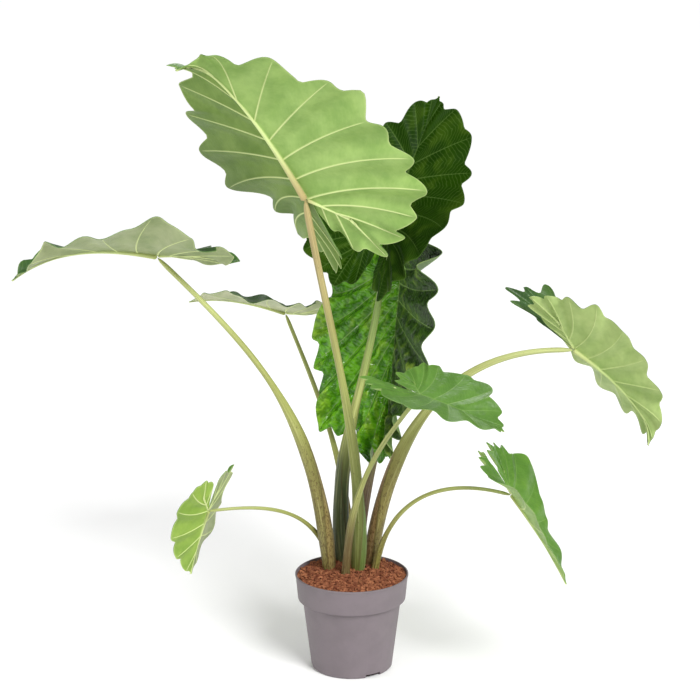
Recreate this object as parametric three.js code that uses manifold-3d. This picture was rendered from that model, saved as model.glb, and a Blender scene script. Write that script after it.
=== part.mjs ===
// Potted alocasia: nine arrow-shaped leaves on long fleshy stalks, standing in the soil of a round
// plastic nursery pot. Millimetres, +Z up, origin at the centre of the pot's flat base. +X is the
// plant's right and -Y its front.
import * as THREE from 'three';
import { mergeVertices } from 'three/addons/utils/BufferGeometryUtils.js';
import Module from 'manifold-3d';

const wasm = await Module();
wasm.setup();

// ---------------------------------------------------------------- driving dimensions
const GAP = 0.3;                 // clearance between pieces that touch

const POT_HEIGHT = 182;
const POT_RIM_RADIUS = 105;
const POT_BASE_RADIUS = 75.8;
const POT_WALL = 2;
const POT_FLOOR = 3;
const BAND_BOTTOM = 138;         // height of the lower edge of the thick rim band
const BAND_BOTTOM_RADIUS = 100.5;
const BODY_TOP = 130;            // height at which the tapered body meets the band
const BODY_TOP_RADIUS = 91.5;
const POT_SIDES = 44;
const DRAIN_COUNT = 3;
const DRAIN_WIDTH = 31;
const DRAIN_HEIGHT = 6.5;
const DRAIN_DEPTH = 9;
const DRAIN_TURN = -58;          // degrees from +X to the first drain notch

const SOIL_EDGE = 176;           // soil height at the pot wall
const SOIL_DOME = 7;             // extra height at the middle
const SOIL_RINGS = 6;
const SOIL_SIDES = 32;
const SOIL_BUMP = 2.2;           // height of the chips' relief
const STALK_SINK = 33;           // how deep the stalks stand in the soil

const BLADE_THICKNESS = 1.2;
const MIDRIB_HEIGHT = 6;         // raised on the underside, at the junction
const VEIN_HEIGHT = 2.2;
const BASAL_RIB_LENGTH = 0.27;   // as a share of the blade's length, like the outline below
const BASAL_RIB_ANGLE = 145;     // degrees from the tip's direction

const COLLAR_TIP = 1.5;          // how far the stalk's grown-in end runs past its curve

const STALK_SIDES = 8;
const STALK_STEPS = 13;
const STALK_DEPTH = 0.86;        // size across the arch as a share of the width
const SOIL_STEPS = 4;            // steps of the stalk that pass through the soil
const STALK_STATIONS = [0, 0.12, 0.3, 0.6, 1];

// Half of a flat blade's outline: x runs along the midrib from the junction (0) to the tip (1),
// y is the distance from the midrib. The last points go round the back lobe into the cleft.
const OUTLINE = [
  [1, 0], [0.95, 0.035], [0.87, 0.13], [0.70, 0.29], [0.50, 0.42], [0.28, 0.52], [0.05, 0.565],
  [-0.16, 0.555], [-0.32, 0.47], [-0.42, 0.34], [-0.47, 0.21], [-0.44, 0.11], [-0.33, 0.05],
  [-0.17, 0.022], [0, 0],
];
const FRONT_SPANS = 7;           // outline spans from the tip to the vein that leaves the junction
const OUTER_SPANS = 3;           // from there to the end of the basal rib
const INNER_SPANS = 4;           // from there into the cleft

// Rows across a half blade, as shares of the way from the rib to the margin, and the places between
// two veins at which the blade is sampled.
const ROWS = [0, 0.05, 0.4, 0.75, 1];
const NOTCHES = [0.36, 0.64];     // where the notch between two teeth may lie
const STATIONS = [0, ...NOTCHES];

// Each leaf: where the stalk meets the blade, the blade's length, the heading of its midrib (degrees
// in plan from +X), its pitch above the horizon and its roll (positive tips the right side down).
// Pairs give the right and the left half. bend droops the tip and hook turns its last quarter.
// Bumps of the margin are [half (0 right, 1 left), vein number, size as a share of the length, width in
// veins]: crests lift it out of the blade's surface, and bays move it outwards or, below 0, inwards.
const DEFAULTS = {
  width: [1, 1], lobe: [1, 1], bend: 10, hook: 0, fold: [10, 10], lobeFold: null, lobeFrom: 0.15,
  lobeBend: [0, 0], shear: [0, 0], crests: [], bays: [], veins: 6, basal: 3, tooth: 0.05,
  wave: 0.035, pucker: 0.012, collar: 30,
};
const LEAVES = [
  {
    name: 'tall_left', seed: 1, at: [-78, -70, 899], length: 380, heading: -152, pitch: 58, roll: 25,
    bend: 30, hook: 45, fold: [11, 12], lobeFold: [26, 12], lobe: [1.1, 0.74], width: [1.07, 0.95],
    bays: [[1, 3.3, -0.05, 0.35], [1, 4.5, 0.11, 0.25], [1, 5, -0.04, 0.15],
      [1, 5.4, 0.03, 0.3], [1, 6, 0.045, 0.3], [0, 3, -0.03, 0.5], [0, 4, -0.035, 0.4],
      [0, 5, -0.03, 0.3], [0, 7, -0.26, 0.8], [0, 8.7, -0.2, 0.7], [0, 10.6, -0.12, 0.8],
      [0, 12.3, 0.12, 0.6]], veins: 7, tooth: 0.085, collar: 60,
    stalk: { foot: [8, 12], rise: [0.11, -0.05, 1], lower: 250, arrive: [-0.17, -0.1, 1],
      upper: 250, radii: [13, 17, 11.7, 7.8, 7] },
  },
  {
    name: 'tall_back', seed: 2, at: [67, 165, 803], length: 275, heading: 42, pitch: 63, roll: 30,
    bend: 14, fold: [8, 14], lobeFold: [45, 14], lobeFrom: 0.45, width: [0.95, 1],
    bays: [[0, 2.7, 0.09, 0.8], [0, 5, -0.03, 0.4], [0, 6, 0.1, 0.6], [1, 2.6, -0.06, 0.5],
      [1, 3.3, -0.05, 0.4]], veins: 7,
    stalk: { foot: [-12, 45], rise: [-0.12, 0.05, 1], lower: 300, arrive: [0.1, 0.1, 1], upper: 350,
      radii: [12, 17.5, 15, 8.5, 6] },
  },
  {
    name: 'hanging', seed: 3, at: [99, 265, 741], length: 402, heading: -107.5, pitch: -69, roll: 36,
    bend: 8, fold: [20, 20], lobeBend: [35, 60], lobe: [0.8, 0.5], width: [0.76, 0.78],
    shear: [0.7, 0.15], bays: [[0, 5.6, 0.06, 0.6], [0, 10, -0.07, 0.9], [1, 6.6, 0.1, 1.6]],
    veins: 10, tooth: 0.06, wave: 0.05,
    stalk: { foot: [11, 62], rise: [0.03, 0.62, 1], lower: 260, arrive: [-0.15, -0.45, 0.85],
      upper: 220, radii: [10, 9, 8, 7, 6] },
  },
  {
    name: 'front_right', seed: 4, at: [120, -120, 559], length: 165, heading: -22, pitch: -14,
    roll: 13, bend: 12, fold: [20, 5], lobe: [1.15, 0.75], width: [1, 0.92], shear: [0, 0.22],
    bays: [[1, 3.4, 0.17, 0.6], [1, 2, 0.03, 0.6], [0, 1.7, 0.08, 0.7], [0, 3.5, 0.16, 1.2],
      [1, 6, 0.1, 0.4]], veins: 5, tooth: 0.1,
    stalk: { foot: [-14, -13], rise: [0.05, -0.05, 1], lower: 180, arrive: [0.6, -0.2, 0.8],
      upper: 180, radii: [11.5, 8.5, 7.5, 5.2, 4.2] },
  },
  {
    name: 'far_right', seed: 5, at: [408, 40, 603], length: 238, heading: 2, pitch: -37, roll: -33,
    bend: 36, hook: 35, fold: [18, 14], lobeFold: [18, 70], lobeBend: [0, 8], lobe: [1.15, 1.35],
    width: [0.77, 0.8], shear: [0.08, 0.15],
    bays: [[0, 6, 0.06, 0.3], [0, 3.4, -0.04, 0.4], [0, 4.5, -0.03, 0.3], [1, 5, -0.2, 0.5]],
    tooth: 0.075,
    stalk: { foot: [29, 42], rise: [0.1, 0, 1], lower: 270, arrive: [1, 0, -0.05], upper: 250,
      radii: [12.5, 16, 15.5, 8.5, 5] },
  },
  {
    name: 'low_right', seed: 6, at: [291, -60, 355], length: 190, heading: -31, pitch: -50,
    roll: -12, bend: 8, fold: [25, 5], lobeFold: [8, 5], width: [1, 0.85], shear: [0, -0.2],
    bays: [[1, 4.4, 0.32, 0.6], [1, 3, -0.08, 0.5]], veins: 5, tooth: 0.08,
    stalk: { foot: [38, 14], rise: [0.08, 0, 1], lower: 170, arrive: [1, 0, -0.3], upper: 150,
      radii: [9, 7.5, 5, 4.2, 3.5] },
  },
  {
    name: 'low_left', seed: 7, at: [-262, -60, 324], length: 168, heading: 121, pitch: -60,
    roll: -18, bend: 5, fold: [20, 5], lobe: [0.85, 1.05], width: [1, 0.76],
    bays: [[0, 3.4, -0.22, 0.6], [1, 2, -0.04, 0.3]], veins: 4, basal: 2, tooth: 0.085,
    stalk: { foot: [-30, 60], rise: [-0.2, 0, 1], lower: 130, arrive: [-1, 0, -0.15], upper: 150,
      radii: [8, 7, 5, 4, 3] },
  },
  {
    name: 'far_left', seed: 8, at: [-346, -20, 789], length: 270, heading: -174, pitch: 10, roll: 7,
    bend: 48, fold: [4, 15], width: [1, 0.9],
    crests: [[1, 5.07, 0.14, 0.35], [1, 3.5, -0.04, 0.4], [1, 5.9, 0.04, 0.4]], tooth: 0.07,
    wave: 0.06,
    stalk: { foot: [-39, 18], rise: [-0.055, 0, 1], lower: 330, arrive: [-0.8, 0, 0.8], upper: 270,
      radii: [12.5, 17, 14.5, 6.5, 5] },
  },
  {
    name: 'back_left', seed: 9, at: [-132, 420, 583], length: 200, heading: 174, pitch: 15, roll: 12,
    bend: 25, fold: [5, 12], lobeBend: [-32, -32], crests: [[1, 3.5, -0.05, 0.5]], veins: 5,
    tooth: 0.06, wave: 0.05,
    stalk: { foot: [-6, 79], rise: [0.05, 0.12, 1], lower: 200, arrive: [-0.42, 0.25, 1],
      upper: 200, radii: [9, 9, 7, 5, 4] },
  },
].map((leaf) => ({ ...DEFAULTS, ...leaf }));

// ---------------------------------------------------------------- colours
const finish = (color, roughness) => new THREE.MeshStandardMaterial({ color, roughness, metalness: 0 });
const POT_PLASTIC = () => finish(0x847b85, 0.55);
const SOIL_COIR = () => finish(0x6e3b28, 0.95);
const LEAF_GREEN = () => finish(0x4c7a26, 0.4);
const STALK_OLIVE = () => finish(0x8c8a4e, 0.5);

// ---------------------------------------------------------------- small helpers
const rad = THREE.MathUtils.degToRad;
const vec = (a) => new THREE.Vector3(...a);
const clamp01 = (x) => Math.min(1, Math.max(0, x));
const ease = (a, b, x) => { const u = clamp01((x - a) / (b - a)); return u * u * (3 - 2 * u); };

/** Seeded draws from 0 to 1. */
function draws(seed, count) {
  let state = seed * 7919 + 12345;
  const list = [];
  for (let i = 0; i < count + 3; i += 1) {
    state = (state * 1664525 + 1013904223) % 4294967296;
    list.push(state / 4294967296);
  }
  return list.slice(3);
}

/** A point on the half outline, u counting its points. */
function outlineAt(u) {
  const last = OUTLINE.length - 1;
  const x = Math.min(Math.max(u, 0), last - 1e-9);
  const i = Math.floor(x);
  const f = x - i;
  const at = (k) => OUTLINE[Math.min(Math.max(k, 0), last)];
  return [0, 1].map((c) => {
    const [p0, p1, p2, p3] = [at(i - 1)[c], at(i)[c], at(i + 1)[c], at(i + 2)[c]];
    return 0.5 * (2 * p1 + (p2 - p0) * f + (2 * p0 - 5 * p1 + 4 * p2 - p3) * f * f
      + (3 * p1 - p0 - 3 * p2 + p3) * f * f * f);
  });
}

function solidOf(geometry) {
  const bare = geometry.clone();
  bare.deleteAttribute('normal');
  bare.deleteAttribute('uv');
  const merged = mergeVertices(bare, 1e-4);
  return new wasm.Manifold(new wasm.Mesh({
    numProp: 3,
    vertProperties: new Float32Array(merged.attributes.position.array),
    triVerts: new Uint32Array(merged.index.array),
  }));
}

function geometryOf(solid) {
  const mesh = solid.getMesh();
  const geometry = new THREE.BufferGeometry();
  geometry.setAttribute('position', new THREE.BufferAttribute(new Float32Array(mesh.vertProperties), 3));
  geometry.setIndex(new THREE.BufferAttribute(new Uint32Array(mesh.triVerts), 1));
  return geometry;
}

/** The largest body of a solid, without the scraps that a cut may leave. */
function mainBody(solid) {
  return solid.decompose().reduce((a, b) => (a.volume() > b.volume() ? a : b));
}

function named(name, geometry, material) {
  geometry.computeVertexNormals();
  const mesh = new THREE.Mesh(geometry, material);
  mesh.name = name;
  return mesh;
}

// ---------------------------------------------------------------- leaf blade
const veinCount = (leaf) => leaf.veins + 2 * leaf.basal;

/** The blade's directions at its junction: forward, right and up. */
function leafFrame(leaf) {
  const heading = rad(leaf.heading);
  const pitch = rad(leaf.pitch);
  const d0 = new THREE.Vector3(
    Math.cos(heading) * Math.cos(pitch), Math.sin(heading) * Math.cos(pitch), Math.sin(pitch),
  );
  const s0 = new THREE.Vector3(Math.sin(heading), -Math.cos(heading), 0);
  const n0 = s0.clone().cross(d0);
  s0.applyAxisAngle(d0, rad(leaf.roll));
  n0.applyAxisAngle(d0, rad(leaf.roll));
  return [d0, s0, n0];
}

/**
 * The blade's axis, bent, in small steps from the junction to the tip and back along the lobes.
 * Each step has its place a along the axis, its point and its frame (s right, n up).
 */
function bladeAxis(leaf, half) {
  const [d0, s0, n0] = leafFrame(leaf);
  const steps = 48;
  const walk = (reach, turn) => {
    const list = [];
    const point = vec(leaf.at);
    for (let i = 0; i < steps; i += 1) {
      const a = (reach * i) / (steps - 1);
      const middle = a - reach / (steps - 1) / 2;
      const angle = i ? turn(Math.abs(middle)) : 0;
      const d = d0.clone().applyAxisAngle(s0, angle);
      const n = n0.clone().applyAxisAngle(s0, angle);
      if (i) point.addScaledVector(d, (reach / (steps - 1)) * leaf.length);
      list.push({ a, point: point.clone(), s: s0.clone(), n });
    }
    return list;
  };
  const droop = (m) => -rad(leaf.bend) * (0.35 * m + 0.65 * m * m) - rad(leaf.hook) * ease(0.7, 1.05, m);
  const lobeDroop = (m) => rad(leaf.lobeBend[half]) * Math.min(1, m / 0.4);
  const forward = walk(1.05, droop);
  const backward = walk(-0.75, lobeDroop).slice(1).reverse();
  return [...backward, ...forward];
}

function axisAt(axis, a) {
  let i = axis.findIndex((step) => step.a >= a);
  i = i < 0 ? axis.length - 1 : Math.max(i, 1);
  const [low, high] = [axis[i - 1], axis[i]];
  const f = clamp01((a - low.a) / (high.a - low.a));
  const mix = (key) => low[key].clone().lerp(high[key], f);
  return { point: mix('point'), s: mix('s'), n: mix('n') };
}

/** Sum of one half's bumps of the margin at vein number q. */
function bumps(list, half, q) {
  return list.filter(([side]) => side === half)
    .reduce((sum, [, vein, size, width]) => sum + size * Math.exp(-(((q - vein) / width) ** 2)), 0);
}

/** Flat places of the rib and the margin at vein number q of one half. */
function ribAndMargin(leaf, half, q) {
  const { veins, basal, tooth } = leaf;
  const front = clamp01(q / veins);
  const outer = clamp01((q - veins) / basal);
  const inner = clamp01((q - veins - basal) / basal);
  const margin = outlineAt(FRONT_SPANS * front + OUTER_SPANS * outer + INNER_SPANS * inner);
  const along = 0.8 * (1 - front) + 0.2 * (1 - front) ** 6;
  const out = BASAL_RIB_LENGTH * (outer - inner);
  const angle = rad(BASAL_RIB_ANGLE);
  const rib = [along + out * Math.cos(angle), out * Math.sin(angle)];

  // a round tooth at the end of each vein, with a notch nearer to one of its neighbours
  const n = veinCount(leaf);
  const draw = draws(leaf.seed * 10 + half, 2 * (n + 2));
  const k = Math.min(Math.floor(q), n);
  const f = q - k;
  const notch = draw[n + 2 + k] > 0.5 ? NOTCHES[0] : NOTCHES[1];
  const size = 0.7 + 0.7 * (f < notch ? draw[k] : draw[k + 1]);
  const u = f < notch ? f / notch : (1 - f) / (1 - notch);
  const ends = ease(0.3, 2.2, q) * (1 - ease(veins + 1.3 * basal, veins + 1.8 * basal, q));
  const bite = tooth * ends * (size * (0.5 * (1 - u * u) + 0.25 + 0.25 * Math.cos(Math.PI * u)) - 0.45)
    + bumps(leaf.bays, half, q);
  const reach = Math.max(Math.hypot(margin[0] - rib[0], margin[1] - rib[1]), 1e-6);
  const toothed = margin.map((v, i) => v + ((v - rib[i]) / reach) * bite);

  return [rib, toothed].map(([x, y]) => {
    const sheared = x + leaf.shear[half] * y;
    return [sheared < 0 ? sheared * leaf.lobe[half] : sheared, y * leaf.width[half]];
  });
}

/** How far the blade rises from its smooth form, as a share of its length. */
function waveAt(leaf, half, q, t) {
  const n = veinCount(leaf);
  const draw = draws(leaf.seed * 10 + 5 + half, 2 * (n + 2));
  const k = Math.min(Math.floor(q), n);
  const lift = (draw[k] > 0.25 ? 1 : -0.5) * (0.6 + 0.8 * draw[n + 2 + k]);
  const ends = ease(0.3, 2.2, q) * (1 - ease(n - 2.2, n - 0.6, q));
  const swell = Math.sin(Math.PI * q) ** 2;
  return ends * swell * (leaf.wave * t ** 2.2 * lift + leaf.pucker * Math.sin(Math.PI * t))
    + t * t * bumps(leaf.crests, half, q);
}

function bladePoint(leaf, axis, half, q, t) {
  const [rib, margin] = ribAndMargin(leaf, half, q);
  const x = rib[0] + (margin[0] - rib[0]) * t;
  const y = rib[1] + (margin[1] - rib[1]) * t;
  const { point, s, n } = axisAt(axis[half], x);
  const side = half === 0 ? 1 : -1;
  const fold = leaf.fold[half];
  const lobeFold = leaf.lobeFold ? leaf.lobeFold[half] : fold;
  const angle = rad(fold + (lobeFold - fold) * ease(-leaf.lobeFrom, 0.5 - leaf.lobeFrom, -x));
  const lift = waveAt(leaf, half, q, t);
  const across = y * Math.cos(angle) - lift * Math.sin(angle);
  const up = y * Math.sin(angle) + lift * Math.cos(angle);
  return point.clone()
    .addScaledVector(s, side * across * leaf.length)
    .addScaledVector(n, up * leaf.length);
}

/** How far the rib or vein stands out below the blade. */
function reliefAt(leaf, q, t) {
  const onRib = t === 0 ? MIDRIB_HEIGHT * (0.15 + 0.85 * Math.min(1, q / leaf.veins)) : 0;
  const past = Math.max(0, q - leaf.veins) / leaf.basal;
  const basal = t === 0 ? 1 - 0.6 * Math.min(past, Math.max(0, 2 - past)) : 1;
  const onVein = Number.isInteger(q) && q > 0 && q < veinCount(leaf) ? VEIN_HEIGHT * (1 - t) ** 0.7 : 0;
  return Math.max(onRib * basal, onVein) * (0.4 + 0.6 * (leaf.length / 400));
}

/** The blade as a closed solid: two like-triangulated faces and the edge between them. */
function bladeGeometry(leaf, thickness = BLADE_THICKNESS, relief = 1) {
  const axis = [bladeAxis(leaf, 0), bladeAxis(leaf, 1)];
  const points = [];
  const depths = [];
  const lookup = new Map();
  const vertex = (half, q, t) => {
    const p = bladePoint(leaf, axis, half, q, t);
    const key = p.toArray().map((v) => Math.round(v * 200)).join();
    if (!lookup.has(key)) {
      lookup.set(key, points.length);
      points.push(p);
      depths.push(reliefAt(leaf, q, t) * relief);
    }
    const index = lookup.get(key);
    depths[index] = Math.max(depths[index], reliefAt(leaf, q, t) * relief);
    return index;
  };

  const faces = [];
  const addFace = (a, b, c) => { if (a !== b && b !== c && c !== a) faces.push([a, b, c]); };
  const places = [];
  for (let k = 0; k < veinCount(leaf); k += 1) STATIONS.forEach((f) => places.push(k + f));
  places.push(veinCount(leaf));
  for (const half of [0, 1]) {
    const grid = places.map((q) => ROWS.map((t) => vertex(half, q, t)));
    for (let i = 0; i < grid.length - 1; i += 1) {
      for (let j = 0; j < ROWS.length - 1; j += 1) {
        const [a, b, c, d] = [grid[i][j], grid[i + 1][j], grid[i + 1][j + 1], grid[i][j + 1]];
        if (half === 0) { addFace(a, b, c); addFace(a, c, d); } else { addFace(a, c, b); addFace(a, d, c); }
      }
    }
  }

  const normals = points.map(() => new THREE.Vector3());
  for (const [a, b, c] of faces) {
    const n = points[b].clone().sub(points[a]).cross(points[c].clone().sub(points[a]));
    [a, b, c].forEach((i) => normals[i].add(n));
  }
  normals.forEach((n) => n.normalize());

  const count = points.length;
  const positions = [];
  points.forEach((p, i) => positions.push(...p.clone().addScaledVector(normals[i], thickness / 2)));
  points.forEach((p, i) => positions.push(
    ...p.clone().addScaledVector(normals[i], -thickness / 2 - depths[i]),
  ));
  const indices = [];
  const directed = new Set(faces.flatMap(([a, b, c]) => [`${a},${b}`, `${b},${c}`, `${c},${a}`]));
  for (const [a, b, c] of faces) {
    indices.push(a, b, c, count + a, count + c, count + b);
    for (const [u, v] of [[a, b], [b, c], [c, a]]) {
      if (!directed.has(`${v},${u}`)) indices.push(v, u, count + u, v, count + u, count + v);
    }
  }
  const geometry = new THREE.BufferGeometry();
  geometry.setAttribute('position', new THREE.Float32BufferAttribute(positions, 3));
  geometry.setIndex(indices);
  return geometry;
}

// ---------------------------------------------------------------- stalks
function stalkCurve(leaf) {
  const { foot, rise, lower, arrive, upper, radii } = leaf.stalk;
  const start = new THREE.Vector3(foot[0], foot[1], SOIL_EDGE - STALK_SINK);
  const end = vec(leaf.at).addScaledVector(leafFrame(leaf)[2], -radii[radii.length - 1]);
  return new THREE.CubicBezierCurve3(
    start, start.clone().addScaledVector(vec(rise).normalize(), lower),
    end.clone().addScaledVector(vec(arrive).normalize(), -upper), end,
  );
}

function stalkRadius(leaf, u) {
  const { radii } = leaf.stalk;
  const i = Math.max(1, STALK_STATIONS.findIndex((s) => s >= u - 1e-9));
  const f = clamp01((u - STALK_STATIONS[i - 1]) / (STALK_STATIONS[i] - STALK_STATIONS[i - 1]));
  return radii[i - 1] + (radii[i] - radii[i - 1]) * ease(0, 1, f);
}

/** A closed tapered tube through rings of { centre, along, radius }, flatter towards depthAxis. */
function tubeGeometry(rings, depthAxis) {
  const positions = [];
  for (const { centre, along, radius } of rings) {
    const depth = depthAxis.clone().addScaledVector(along, -depthAxis.dot(along)).normalize();
    const width = along.clone().cross(depth);
    for (let k = 0; k < STALK_SIDES; k += 1) {
      const angle = (2 * Math.PI * k) / STALK_SIDES;
      positions.push(...centre.clone()
        .addScaledVector(width, radius * Math.cos(angle))
        .addScaledVector(depth, radius * STALK_DEPTH * Math.sin(angle)));
    }
  }
  const indices = [];
  const at = (i, k) => i * STALK_SIDES + (k % STALK_SIDES);
  const last = rings.length - 1;
  for (let i = 0; i < last; i += 1) {
    for (let k = 0; k < STALK_SIDES; k += 1) {
      indices.push(at(i, k), at(i + 1, k + 1), at(i, k + 1), at(i, k), at(i + 1, k), at(i + 1, k + 1));
    }
  }
  for (let k = 1; k < STALK_SIDES - 1; k += 1) {
    indices.push(at(0, 0), at(0, k), at(0, k + 1), at(last, 0), at(last, k + 1), at(last, k));
  }
  const geometry = new THREE.BufferGeometry();
  geometry.setAttribute('position', new THREE.Float32BufferAttribute(positions, 3));
  geometry.setIndex(indices);
  return geometry;
}

/** The side of a stalk that faces along its arch stays the same all the way. */
function archSide(leaf) {
  const curve = stalkCurve(leaf);
  const chord = curve.v3.clone().sub(curve.v0).normalize();
  const side = chord.clone().cross(curve.getTangent(0));
  if (side.length() < 0.05) side.set(1, 0, 0);
  return side.cross(chord).normalize();
}

/** The place along the stalk's curve where the stalk ends and the blade's collar begins. */
const collarStart = (leaf) => 1 - leaf.collar / stalkCurve(leaf).getLength();

/** The first steps of the stalk, or all of it, swollen by grow for its hole in the soil. */
function stalkGeometry(leaf, steps = STALK_STEPS, grow = 0) {
  const curve = stalkCurve(leaf);
  const end = collarStart(leaf) - GAP / curve.getLength();
  const rings = Array.from({ length: steps + 1 }, (_, i) => {
    const u = (end * i) / STALK_STEPS;
    return { centre: curve.getPoint(u), along: curve.getTangent(u), radius: stalkRadius(leaf, u) + grow };
  });
  return tubeGeometry(rings, archSide(leaf));
}

/** The stalk's last stretch, which has grown into the blade's underside and tapers away there. */
function collarGeometry(leaf) {
  const curve = stalkCurve(leaf);
  const u0 = collarStart(leaf);
  const rings = [u0, (u0 + 1) / 2, 1].map((u) => (
    { centre: curve.getPoint(u), along: curve.getTangent(u), radius: stalkRadius(leaf, u) }));
  const { centre, along, radius } = rings[2];
  rings[2].radius = 0.9 * radius;
  const reach = COLLAR_TIP + radius * Math.max(0, along.dot(leafFrame(leaf)[2]));
  rings.push({ centre: centre.clone().addScaledVector(along, reach), along, radius: 0.4 * radius });
  return tubeGeometry(rings, archSide(leaf));
}

// ---------------------------------------------------------------- pot and soil
/** Radius of the pot's inner face at height z. */
function potInnerRadius(z) {
  const mix = (z0, r0, z1, r1) => r0 + ((r1 - r0) * (z - z0)) / (z1 - z0);
  if (z < BODY_TOP) return mix(0, POT_BASE_RADIUS, BODY_TOP, BODY_TOP_RADIUS) - POT_WALL;
  if (z < BAND_BOTTOM) return mix(BODY_TOP, BODY_TOP_RADIUS, BAND_BOTTOM, BAND_BOTTOM_RADIUS) - POT_WALL;
  return mix(BAND_BOTTOM, BAND_BOTTOM_RADIUS, POT_HEIGHT, POT_RIM_RADIUS) - POT_WALL;
}

function potGeometry() {
  const profile = [
    [0, 0], [POT_BASE_RADIUS - 1.5, 0], [POT_BASE_RADIUS, 1.5], [BODY_TOP_RADIUS, BODY_TOP],
    [BAND_BOTTOM_RADIUS - 1.5, BAND_BOTTOM - 4.5], [BAND_BOTTOM_RADIUS, BAND_BOTTOM - 3],
    [POT_RIM_RADIUS - 0.5, POT_HEIGHT - 4], [POT_RIM_RADIUS + 0.5, POT_HEIGHT - 3],
    [POT_RIM_RADIUS + 0.5, POT_HEIGHT - 0.8], [POT_RIM_RADIUS - 0.5, POT_HEIGHT],
    [potInnerRadius(POT_HEIGHT), POT_HEIGHT], [potInnerRadius(BAND_BOTTOM), BAND_BOTTOM],
    [potInnerRadius(BODY_TOP - 0.01), BODY_TOP + 1], [potInnerRadius(POT_FLOOR), POT_FLOOR], [0, POT_FLOOR],
  ];
  const body = new THREE.LatheGeometry(profile.map(([r, z]) => new THREE.Vector2(r, z)), POT_SIDES);
  body.rotateX(Math.PI / 2);
  let solid = solidOf(body);
  if (solid.volume() < 0) throw new Error('pot faces point in');
  for (let i = 0; i < DRAIN_COUNT; i += 1) {
    const notch = new THREE.BoxGeometry(2 * DRAIN_DEPTH, DRAIN_WIDTH, 2 * DRAIN_HEIGHT);
    notch.translate(POT_BASE_RADIUS, 0, 0);
    notch.rotateZ(rad(DRAIN_TURN + (360 * i) / DRAIN_COUNT));
    solid = solid.subtract(solidOf(notch));
  }
  return geometryOf(mainBody(solid));
}

/** The soil fills the pot up to a low dome, whose chips are a seeded relief. */
function soilGeometry() {
  const bumps = draws(77, SOIL_RINGS * SOIL_SIDES);
  const rings = [];
  const floor = POT_FLOOR + GAP;
  rings.push([potInnerRadius(floor) - GAP, () => floor]);
  rings.push([potInnerRadius(BODY_TOP - 0.01) - GAP, () => BODY_TOP + 1]);
  rings.push([potInnerRadius(BAND_BOTTOM) - GAP, () => BAND_BOTTOM + GAP]);
  const edge = potInnerRadius(SOIL_EDGE) - GAP;
  for (let i = 0; i < SOIL_RINGS; i += 1) {
    const share = 1 - i / SOIL_RINGS;
    const height = (k) => SOIL_EDGE + SOIL_DOME * (1 - share * share)
      + (i ? SOIL_BUMP * (bumps[i * SOIL_SIDES + k] - 0.5) : 0);
    rings.push([edge * share, height]);
  }
  const positions = [0, 0, floor];
  for (const [radius, height] of rings) {
    for (let k = 0; k < SOIL_SIDES; k += 1) {
      const angle = (2 * Math.PI * k) / SOIL_SIDES;
      positions.push(radius * Math.cos(angle), radius * Math.sin(angle), height(k));
    }
  }
  positions.push(0, 0, SOIL_EDGE + SOIL_DOME);
  const at = (i, k) => 1 + i * SOIL_SIDES + (k % SOIL_SIDES);
  const top = positions.length / 3 - 1;
  const indices = [];
  for (let k = 0; k < SOIL_SIDES; k += 1) {
    indices.push(0, at(0, k + 1), at(0, k), top, at(rings.length - 1, k), at(rings.length - 1, k + 1));
    for (let i = 0; i < rings.length - 1; i += 1) {
      indices.push(at(i, k), at(i, k + 1), at(i + 1, k + 1), at(i, k), at(i + 1, k + 1), at(i + 1, k));
    }
  }
  const geometry = new THREE.BufferGeometry();
  geometry.setAttribute('position', new THREE.Float32BufferAttribute(positions, 3));
  geometry.setIndex(indices);
  let solid = solidOf(geometry);
  for (const leaf of LEAVES) solid = solid.subtract(solidOf(stalkGeometry(leaf, SOIL_STEPS, GAP)));
  return geometryOf(mainBody(solid));
}

// ---------------------------------------------------------------- the plant
const group = new THREE.Group();
group.add(named('pot', potGeometry(), POT_PLASTIC()));
group.add(named('soil', soilGeometry(), SOIL_COIR()));
for (const leaf of LEAVES) {
  const blade = solidOf(bladeGeometry(leaf)).add(solidOf(collarGeometry(leaf)));
  group.add(named(`stalk_${leaf.name}`, stalkGeometry(leaf), STALK_OLIVE()));
  group.add(named(`blade_${leaf.name}`, geometryOf(blade), LEAF_GREEN()));
}

export default group;
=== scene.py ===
# Potted alocasia: nine arrow-shaped leaves on fleshy stalks, in the coir of a round nursery pot.
# Metres, +Z up, origin at the centre of the pot's base. +X is the plant's right and -Y its front.
from math import cos, pi, radians, sin, tau
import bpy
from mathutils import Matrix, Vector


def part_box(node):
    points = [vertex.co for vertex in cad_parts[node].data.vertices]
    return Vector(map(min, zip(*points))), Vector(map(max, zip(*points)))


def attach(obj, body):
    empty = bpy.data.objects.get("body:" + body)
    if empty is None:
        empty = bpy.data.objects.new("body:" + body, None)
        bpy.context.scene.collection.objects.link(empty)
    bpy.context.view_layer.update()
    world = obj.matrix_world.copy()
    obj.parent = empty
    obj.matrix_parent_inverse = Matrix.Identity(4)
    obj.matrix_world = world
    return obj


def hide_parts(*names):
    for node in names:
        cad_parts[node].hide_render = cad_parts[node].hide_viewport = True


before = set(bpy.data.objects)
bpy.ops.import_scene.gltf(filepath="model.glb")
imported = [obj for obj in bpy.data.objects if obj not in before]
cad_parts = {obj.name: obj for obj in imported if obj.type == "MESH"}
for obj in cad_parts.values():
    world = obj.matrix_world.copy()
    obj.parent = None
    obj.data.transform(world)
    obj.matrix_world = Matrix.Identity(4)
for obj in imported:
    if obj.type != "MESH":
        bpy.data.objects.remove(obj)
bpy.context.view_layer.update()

from types import SimpleNamespace

import bpy
import numpy as np
from mathutils import Quaternion, Vector

bl_info = {
    "name": "Potted Alocasia",
    "version": (1, 0, 0),
    "blender": (4, 5, 0),
    "location": "View3D > Sidebar > Alocasia",
    "description": "Makes a potted alocasia with its leaves, stalks, soil and pot, and a plain stage",
    "category": "Add Mesh",
}

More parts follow.
